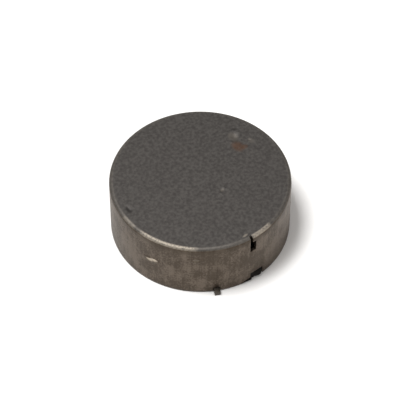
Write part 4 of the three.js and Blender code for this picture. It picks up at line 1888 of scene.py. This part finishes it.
@dataclass
class LeafBrush:
    """One brush: a soldered foot and a sprung, forked leaf that rises to the commutator."""

    letter: str
    body: Body
    leaf: float = 0.06
    slot: float = 0.08
    hole: float = 0.13
    bend: float = 0.12  # the half length, along Y, of the blend that the leaf hands to install at its root
    clearance: float = 0.018  # how far it stays under its node's top
    curl: float = 0.28  # how far before its tip it turns down again

    def path(self) -> list[Vector]:
        """Works out the middle line of the leaf, from the back of the foot to the tip.

        Returns:
            The line's points.
        """
        foot, arm = Extent.of(f"brush_foot_{self.letter}"), Extent.of(f"brush_arm_{self.letter}")
        level = foot.bottom + self.leaf / 2
        contact = arm.top - self.leaf / 2 - self.clearance
        root, tip = arm.low.y, arm.high.y
        crown = tip - self.curl
        knots = [
            (0, root, level), (0, root + 0.3, level + 0.03), (0, 0, (level + contact) / 2),
            (0, crown - 0.25, contact - 0.09), (0, crown, contact), (0, tip - 0.02, contact - 0.14),
        ]
        flat = [Vector((0, foot.low.y + (root - foot.low.y) * k / 8, level)) for k in range(8)]
        return flat + smooth_path(knots, 9)

    def build(self) -> None:
        """Builds the leaf, which bends at its root, and its solder button."""
        foot, arm = Extent.of(f"brush_foot_{self.letter}"), Extent.of(f"brush_arm_{self.letter}")
        half_arm = (arm.high.x - arm.low.x) / 2
        path = self.path()
        blank = Blank()
        columns = (-half_arm, -self.slot / 2, self.slot / 2, half_arm)
        row = [blank.bm.verts.new(path[0] + Vector((arm.centre.x + x, 0, 0))) for x in columns]
        edges = [blank.bm.edges.new(pair) for pair in zip(row, row[1:])]
        for here, there in zip(path, path[1:]):
            grown = bmesh.ops.extrude_edge_only(blank.bm, edges=edges)["geom"]
            verts = [g for g in grown if isinstance(g, bmesh.types.BMVert)]
            fresh = [g for g in grown if isinstance(g, bmesh.types.BMEdge)]
            edges = [e for e in fresh if all(v in verts for v in e.verts)]
            bmesh.ops.translate(blank.bm, verts=verts, vec=there - here)
        middle = arm.centre.x
        blank.drop(lambda c: abs(c.x - middle) < self.slot / 2 and c.y > 0.05)
        blank.press(lambda p: self.widen(p, foot, arm))
        blank.face_out()
        bmesh.ops.solidify(blank.bm, geom=blank.bm.faces[:], thickness=self.leaf)
        self.centre_on(blank, path[0].z)
        piece = blank.face_out().finish(f"brush_leaf_{self.letter}", sharp=50)
        centre = Vector((foot.centre.x, foot.centre.y, 0))
        carve(piece, [Blank().disc(self.hole, 48, 0, 1, centre)])
        ease_edges(piece, 0.01, 2, 60)
        root = Vector((arm.centre.x, arm.low.y, path[0].z))
        sweep = Vector((0, self.bend, 0))
        install(
            piece, BRUSH_ALLOY, Body.STATOR, [f"brush_foot_{self.letter}", f"brush_arm_{self.letter}"],
            blend=(self.body, root - sweep, root + sweep),
        )
        self.build_solder(centre)

    def centre_on(self, blank: Blank, level: float) -> None:
        """Moves the leaf so that its foot's middle lies at a level again.

        Args:
            blank: the leaf, with its thickness.
            level: where the middle of the foot belongs.
        """
        low = min(v.co.z for v in blank.bm.verts)
        blank.move((0, 0, level - self.leaf / 2 - low))

    def widen(self, place: Vector, foot: Extent, arm: Extent) -> Vector:
        """Works out how far a point of the arm's strip moves to give the foot its own width.

        Args:
            place: the point.
            foot: the box of the foot's node.
            arm: the box of the arm's node.

        Returns:
            Its move.
        """
        share = min(1.0, max(0.0, (arm.low.y + 0.12 - place.y) / 0.2))
        share = share * share * (3 - 2 * share)
        reach = (foot.high.x - foot.low.x) / (arm.high.x - arm.low.x)
        wanted = foot.centre.x + (place.x - arm.centre.x) * reach
        return Vector(((wanted - place.x) * share, 0, 0))

    def build_solder(self, centre: Vector) -> None:
        """Builds the solder button over the hole in the foot.

        Args:
            centre: the place of the hole.
        """
        extent = Extent.of(f"brush_solder_{self.letter}")
        shoulder = extent.bottom + self.leaf + 0.012
        stem, head = self.hole - 0.02, extent.radius
        corners = [
            (0, extent.bottom, 0), (stem, extent.bottom, 0.01), (stem, shoulder, 0.01),
            (head, shoulder, 0.02), (head * 0.62, extent.top - 0.01, 0.12), (0, extent.top, 0),
        ]
        blank = Blank().turn(rounded(corners, False, 6), 48, closed=False).move(centre).face_out()
        piece = blank.finish(f"brush_joint_{self.letter}", sharp=60)
        install(piece, SOLDER_TIN, Body.STATOR, [f"brush_solder_{self.letter}"])


@dataclass
class ThrustWasher:
    """A thin washer that floats on the shaft."""

    node: str
    body: Body
    bore: float = 0.42
    edge: float = 0.025

    def build(self) -> None:
        """Builds the washer and puts it on its body."""
        extent = Extent.of(self.node)
        blank = ring_of(self.bore, extent.radius, extent, self.edge, 4, 96)
        install(blank.finish(f"{self.node}_ring"), WASHER_POLYMER, self.body, [self.node])


# ---- The rotor ----


@dataclass
class Rotor:
    """The off-balance rotor: sleeve, board with commutator, coils, weight, resin, pin and joints."""

    bore: float = 0.42
    sleeve_fit: float = 0.92  # the radius of the hole that the sleeve sits in
    board_hub: float = 2.05
    board_overlap: float = 15.0  # how far the half-moon passes its diameter, in degrees
    board_corner: float = 0.12
    segment_inner: float = 1.0
    segment_outer: float = 1.9
    segment_split: float = 0.12
    segments: int = 6
    pad_size: tuple[float, float] = (0.27, 0.007)  # radius and height
    coil_angles: tuple[tuple[str, float], ...] = (("b", 30.0), ("a", 150.0))
    coil_pitch: float = 2.55
    coil_inner: float = 0.5
    wire: float = 0.07
    weight_inner: float = 2.3
    weight_span: float = 75.0
    resin_radius: float = 4.45
    resin_hub: float = 1.25
    resin_overlap: float = 14.0
    gap: float = 0.02
    joint_angles: tuple[float, ...] = (-150.0, -110.0, -70.0, -30.0)
    joint_pitch: float = 1.65
    facet: float = 1.5  # degrees between the facets of an arc

    def build(self) -> None:
        """Builds every piece of the rotor."""
        self.build_sleeve()
        self.build_board()
        self.build_commutator()
        for letter, angle in self.coil_angles:
            self.build_coil(letter, angle)
        self.build_weight()
        self.build_resin()
        self.build_pin()
        for number, angle in enumerate(self.joint_angles, start=1):
            self.build_joint(number, angle)
            self.build_lead(number, angle)

    def build_sleeve(self) -> None:
        """Builds the sintered sleeve."""
        extent = Extent.of("sleeve_bearing")
        low, high, outer = extent.bottom, extent.top, extent.radius
        corners = [(self.bore, low, 0.04), (outer, low, 0.06), (outer, high, 0.06), (self.bore, high, 0.04)]
        blank = Blank().turn(rounded(corners, True, 5), 120).face_out()
        install(blank.finish("rotor_sleeve"), SINTERED_BRONZE, Body.ROTOR, ["sleeve_bearing"])

    def half_moon(self, radius: float, hub: float, overlap: float, level: float, height: float) -> Blank:
        """Makes a half-moon plate with a round hub and a hole for the sleeve.

        Args:
            radius: the half-moon's radius.
            hub: the hub's radius.
            overlap: how far the half-moon passes its diameter, in degrees.
            level: the level of its underside.
            height: how thick it is.

        Returns:
            The plate.
        """
        end = 180 + overlap
        steps = round((end + overlap) / self.facet)
        blank = Blank().fan((self.sleeve_fit, hub, radius), -overlap, end, steps, level)
        blank.fan((self.sleeve_fit, hub), end, 360 - overlap, round((180 - 2 * overlap) / self.facet), level)
        return blank.clean(LOOSE_WELD).lift(height)

    def build_board(self) -> None:
        """Builds the rotor board and the plated pads on its hub."""
        extent = Extent.of("commutator_board")
        height = extent.top - extent.bottom
        board = self.half_moon(extent.radius, self.board_hub, self.board_overlap, extent.bottom, height)
        board.soften(self.board_corner, 4, 50, upright=True)
        piece = board.finish("rotor_board")
        ease_edges(piece, 0.012, 2)
        install(piece, BOARD_LAMINATE, Body.ROTOR, ["commutator_board"])
        radius, thickness = self.pad_size
        for number, angle in enumerate(self.joint_angles, start=1):
            pad = Blank().disc(radius, 48, extent.top + 0.001, thickness, polar(self.joint_pitch, angle))
            install(pad.soften(0.002, 1).finish(f"coil_pad_{number}"), PAD_GOLD, Body.ROTOR)

    def build_commutator(self) -> None:
        """Builds the plated segments under the board."""
        step = 360 / self.segments
        radii = (self.segment_inner, self.segment_outer)
        half = step / 2 - math.degrees(self.segment_split / sum(radii))
        for number in range(1, self.segments + 1):
            node = f"commutator_segment_{number}"
            extent = Extent.of(node)
            middle = step * (number - 0.5)
            blank = Blank().fan(radii, middle - half, middle + half, 36, extent.bottom)
            blank.lift(extent.top - extent.bottom).soften(0.05, 4, 50, upright=True)
            piece = blank.soften(0.008, 2, 50).finish(f"commutator_plate_{number}")
            even_shading(piece)
            install(piece, PLATED_GOLD, Body.ROTOR, [node])

    def winding(self, inner: float, outer: float, low: float, high: float) -> list[Point2]:
        """Returns a coil's section, with a bump for each turn of wire on its skin.

        Args:
            inner: the coil's inner radius.
            outer: its outer radius.
            low: its lower level.
            high: its upper level.

        Returns:
            The points of the section.
        """
        inset = self.wire / 2
        corners = [
            (r, z, 0.11) for r, z in (
                (inner + inset, low + inset), (outer - inset, low + inset),
                (outer - inset, high - inset), (inner + inset, high - inset),
            )
        ]
        track = [Vector(p) for p in rounded(corners, True, 8)]
        loop = list(zip(track, [*track[1:], track[0]]))
        length = sum((b - a).length for a, b in loop)
        turns = round(length / self.wire)
        points = []
        travelled, wanted = 0.0, 0.0
        for a, b in loop:
            side = (b - a).length
            while wanted < travelled + side - 1e-9:
                way = (b - a) / side
                centre = a + way * (wanted - travelled)
                out = Vector((way.y, -way.x))
                for swing in (-60, -20, 20, 60):
                    arm = out * math.cos(math.radians(swing)) + way * math.sin(math.radians(swing))
                    points.append(tuple(centre + arm * inset))
                wanted += length / turns
            travelled += side
        return points

    def build_coil(self, letter: str, angle: float) -> None:
        """Builds one wound coil.

        Args:
            letter: which coil it is.
            angle: where its centre is, in degrees.
        """
        node = f"coil_{letter}"
        extent = Extent.of(node)
        section = self.winding(self.coil_inner, extent.radius, extent.bottom, extent.top)
        blank = Blank().turn(section, 96).move(polar(self.coil_pitch, angle)).face_out()
        install(blank.finish(f"winding_{letter}", sharp=75), ENAMELLED_COPPER, Body.ROTOR, [node])

    def coil_rods(self, margin: float) -> list[Blank]:
        """Makes upright rods that clear the coils.

        Args:
            margin: the room round each coil.

        Returns:
            A rod for each coil.
        """
        radius = Extent.of("coil_a").radius + margin
        centres = [polar(self.coil_pitch, angle) for _, angle in self.coil_angles]
        return [Blank().disc(radius, 128, 0, 6, centre) for centre in centres]

    def build_weight(self) -> None:
        """Builds the tungsten weight."""
        extent = Extent.of("eccentric_weight")
        outer = extent.high.y
        span = self.weight_span
        steps = round(2 * span / self.facet)
        blank = Blank().fan((self.weight_inner, outer), 90 - span, 90 + span, steps, extent.bottom)
        piece = blank.lift(extent.top - extent.bottom).finish("tungsten_weight")
        carve(piece, self.coil_rods(2 * self.gap))
        ease_edges(piece, 0.05, 3)
        install(piece, TUNGSTEN_ALLOY, Body.ROTOR, ["eccentric_weight"])

    def build_resin(self) -> None:
        """Builds the resin frame round the sleeve, the coils, the weight and the pin."""
        extent, pin = Extent.of("rotor_frame"), Extent.of("detent_pin")
        blank = self.half_moon(
            self.resin_radius, self.resin_hub, self.resin_overlap, extent.bottom, extent.top - extent.bottom,
        )
        piece = blank.finish("resin_frame")
        span = self.weight_span + 0.3
        room = Blank().fan((self.weight_inner - self.gap, 6), 90 - span, 90 + span, 100, 0).lift(6)
        hole = Blank().disc(pin.radius + self.gap, 48, 0, 6, Vector((0, pin.centre.y, 0)))
        carve(piece, [room, hole, *self.coil_rods(self.gap)])
        ease_edges(piece, 0.03, 3)
        install(piece, MOULDED_RESIN, Body.ROTOR, ["rotor_frame"])

    def build_pin(self) -> None:
        """Builds the detent pin."""
        extent = Extent.of("detent_pin")
        low, high, radius = extent.bottom, extent.top, extent.radius
        corners = [(0, low, 0), (radius, low, 0.03), (radius, high, 0.04), (0, high, 0)]
        blank = Blank().turn(rounded(corners, False, 5), 64, closed=False).move((0, extent.centre.y, 0))
        install(blank.face_out().finish("parking_pin"), GROUND_STEEL, Body.ROTOR, ["detent_pin"])

    def build_joint(self, number: int, angle: float) -> None:
        """Builds the solder on one coil pad.

        Args:
            number: which joint it is.
            angle: where it is, in degrees.
        """
        node = f"coil_solder_{number}"
        extent = Extent.of(node)
        low, high, radius = extent.bottom, extent.top, extent.radius
        corners = [
            (0, low, 0), (radius, low, 0), (radius * 0.9, low + (high - low) * 0.3, 0.05),
            (radius * 0.55, high - 0.01, 0.1), (0, high, 0),
        ]
        blank = Blank().turn(rounded(corners, False, 6), 48, closed=False)
        blank.move(polar(self.joint_pitch, angle)).face_out()
        install(blank.finish(f"coil_joint_{number}", sharp=70), SOLDER_TIN, Body.ROTOR, [node])

    def build_lead(self, number: int, angle: float) -> None:
        """Builds the wire from one solder joint into the resin beside its coil.

        Args:
            number: which joint it ends in.
            angle: where that joint is, in degrees.
        """
        level, pitch = Extent.of(f"coil_solder_{number}").top, self.joint_pitch
        side = 1 if angle > -90 else -1
        start = angle if side > 0 else -180 - angle
        knots = [polar(pitch - 0.05, start, level - 0.07), polar(pitch + 0.12, start + 5, level + 0.02)]
        if start < -50:
            knots += [polar(1.93, -48, level - 0.06), polar(1.97, -30, level - 0.03)]
        knots += [polar(1.95, -21, level + 0.06), polar(1.9, -9, level + 0.16)]
        wire = tube_along(smooth_path(knots, 7), self.wire / 2, 12)
        if side < 0:
            bmesh.ops.scale(wire.bm, verts=wire.bm.verts[:], vec=(-1, 1, 1))
        install(wire.face_out().finish(f"coil_lead_{number}"), ENAMELLED_COPPER, Body.ROTOR)


# ---- The studio ----


@dataclass(frozen=True)
class Softbox:
    """A soft rectangular lamp."""

    name: str
    azimuth: float  # degrees round from the camera, towards its right
    elevation: float
    distance: float
    size: tuple[float, float]
    power: float
    tint: RGB = (1.0, 1.0, 1.0)


@dataclass
class Studio:
    """The pale floor, the soft light and the camera."""

    camera_azimuth: float = -40.3
    camera_elevation: float = 50.8
    camera_distance: float = 0.12
    lens: float = 195.0
    aim: tuple[float, float] = (-0.015, -0.01)  # right of and above the motor's middle, in millimetres
    floor_side: float = 1.2
    floor_drop: float = 0.002
    floor_roughness: float = 0.9
    floor_tone: RGB = (0.93, 0.925, 0.915)
    sky_strength: float = 0.38
    sky_tone: RGB = (1.0, 0.965, 0.935)
    softboxes: tuple[Softbox, ...] = (
        Softbox("key", -84, 74, 0.30, (0.10, 0.10), 0.92),
        Softbox("fill", 60, 25, 0.30, (0.12, 0.10), 0.18),
    )

    def out_from(self, azimuth: float, elevation: float) -> Vector:
        """Returns the direction from the motor at an azimuth and an elevation of the frame's views."""
        a, e = math.radians(azimuth), math.radians(elevation)
        return Vector((math.sin(a) * math.cos(e), -math.cos(a) * math.cos(e), math.sin(e)))

    def point(self, thing: bpy.types.Object, at: Vector, towards: Vector) -> None:
        """Places a lamp or a camera and points it.

        Args:
            thing: the object.
            at: where it goes.
            towards: what it looks at.
        """
        thing.location = at
        thing.rotation_euler = (towards - at).to_track_quat("-Z", "Y").to_euler()
        bpy.context.scene.collection.objects.link(thing)

    def build(self) -> None:
        """Builds the floor, the lamps, the sky and the camera."""
        low, high = CAD_BOUNDS
        middle = Vector((0, 0, (low.z + high.z) / 2))
        self.build_floor(low.z)
        self.build_sky()
        for box in self.softboxes:
            data = bpy.data.lights.new(box.name, "AREA")
            data.shape = "RECTANGLE"
            data.size, data.size_y = box.size
            data.energy = box.power
            data.color = box.tint
            at = middle + self.out_from(self.camera_azimuth + box.azimuth, box.elevation) * box.distance
            self.point(bpy.data.objects.new(box.name, data), at, middle)
        self.build_camera(middle)

    def build_camera(self, middle: Vector) -> None:
        """Builds the camera.

        Args:
            middle: the point on the motor's axis at half its height.
        """
        data = bpy.data.cameras.new("camera")
        data.lens = self.lens
        data.clip_start, data.clip_end = 0.001, 10.0
        camera = bpy.data.objects.new("camera", data)
        back = self.out_from(self.camera_azimuth, self.camera_elevation)
        right = UP.cross(back).normalized()
        aim = middle + (right * self.aim[0] + back.cross(right) * self.aim[1]) * MM
        self.point(camera, aim + back * self.camera_distance, aim)
        bpy.context.scene.camera = camera

    def build_floor(self, level: float) -> None:
        """Builds the floor.

        Args:
            level: the level of the motor's underside, in metres.
        """
        blank = Blank()
        bmesh.ops.create_grid(blank.bm, x_segments=8, y_segments=8, size=self.floor_side / 2 / MM)
        floor = blank.move((0, 0, level / MM - self.floor_drop)).finish("floor")
        material = bpy.data.materials.new("pale floor")
        material.use_nodes = True
        shader = material.node_tree.nodes["Principled BSDF"]
        shader.inputs["Base Color"].default_value = (*self.floor_tone, 1.0)
        shader.inputs["Roughness"].default_value = self.floor_roughness
        floor.data.materials.append(material)

    def build_sky(self) -> None:
        """Builds the even pale light all round."""
        world = bpy.data.worlds.new("studio")
        bpy.context.scene.world = world
        world.use_nodes = True
        background = world.node_tree.nodes["Background"]
        background.inputs["Color"].default_value = (*self.sky_tone, 1.0)
        background.inputs["Strength"].default_value = self.sky_strength
        bpy.context.scene.view_settings.view_transform = "Standard"


def main() -> None:
    """Builds the motor and its studio and reports every piece."""
    logging.basicConfig(level=logging.INFO, format="%(message)s")
    Studio().build()
    DrawnCase().build()
    LeadSeal().build()
    BasePlate().build()
    FixedShaft().build()
    RingMagnet().build()
    FlexCircuit().build()
    LeafBrush("a", Body.BRUSH_A).build()
    LeafBrush("b", Body.BRUSH_B).build()
    ThrustWasher("lower_thrust_washer", Body.LOWER_WASHER).build()
    ThrustWasher("upper_thrust_washer", Body.UPPER_WASHER).build()
    Rotor().build()


if __name__ == "__main__":
    main()
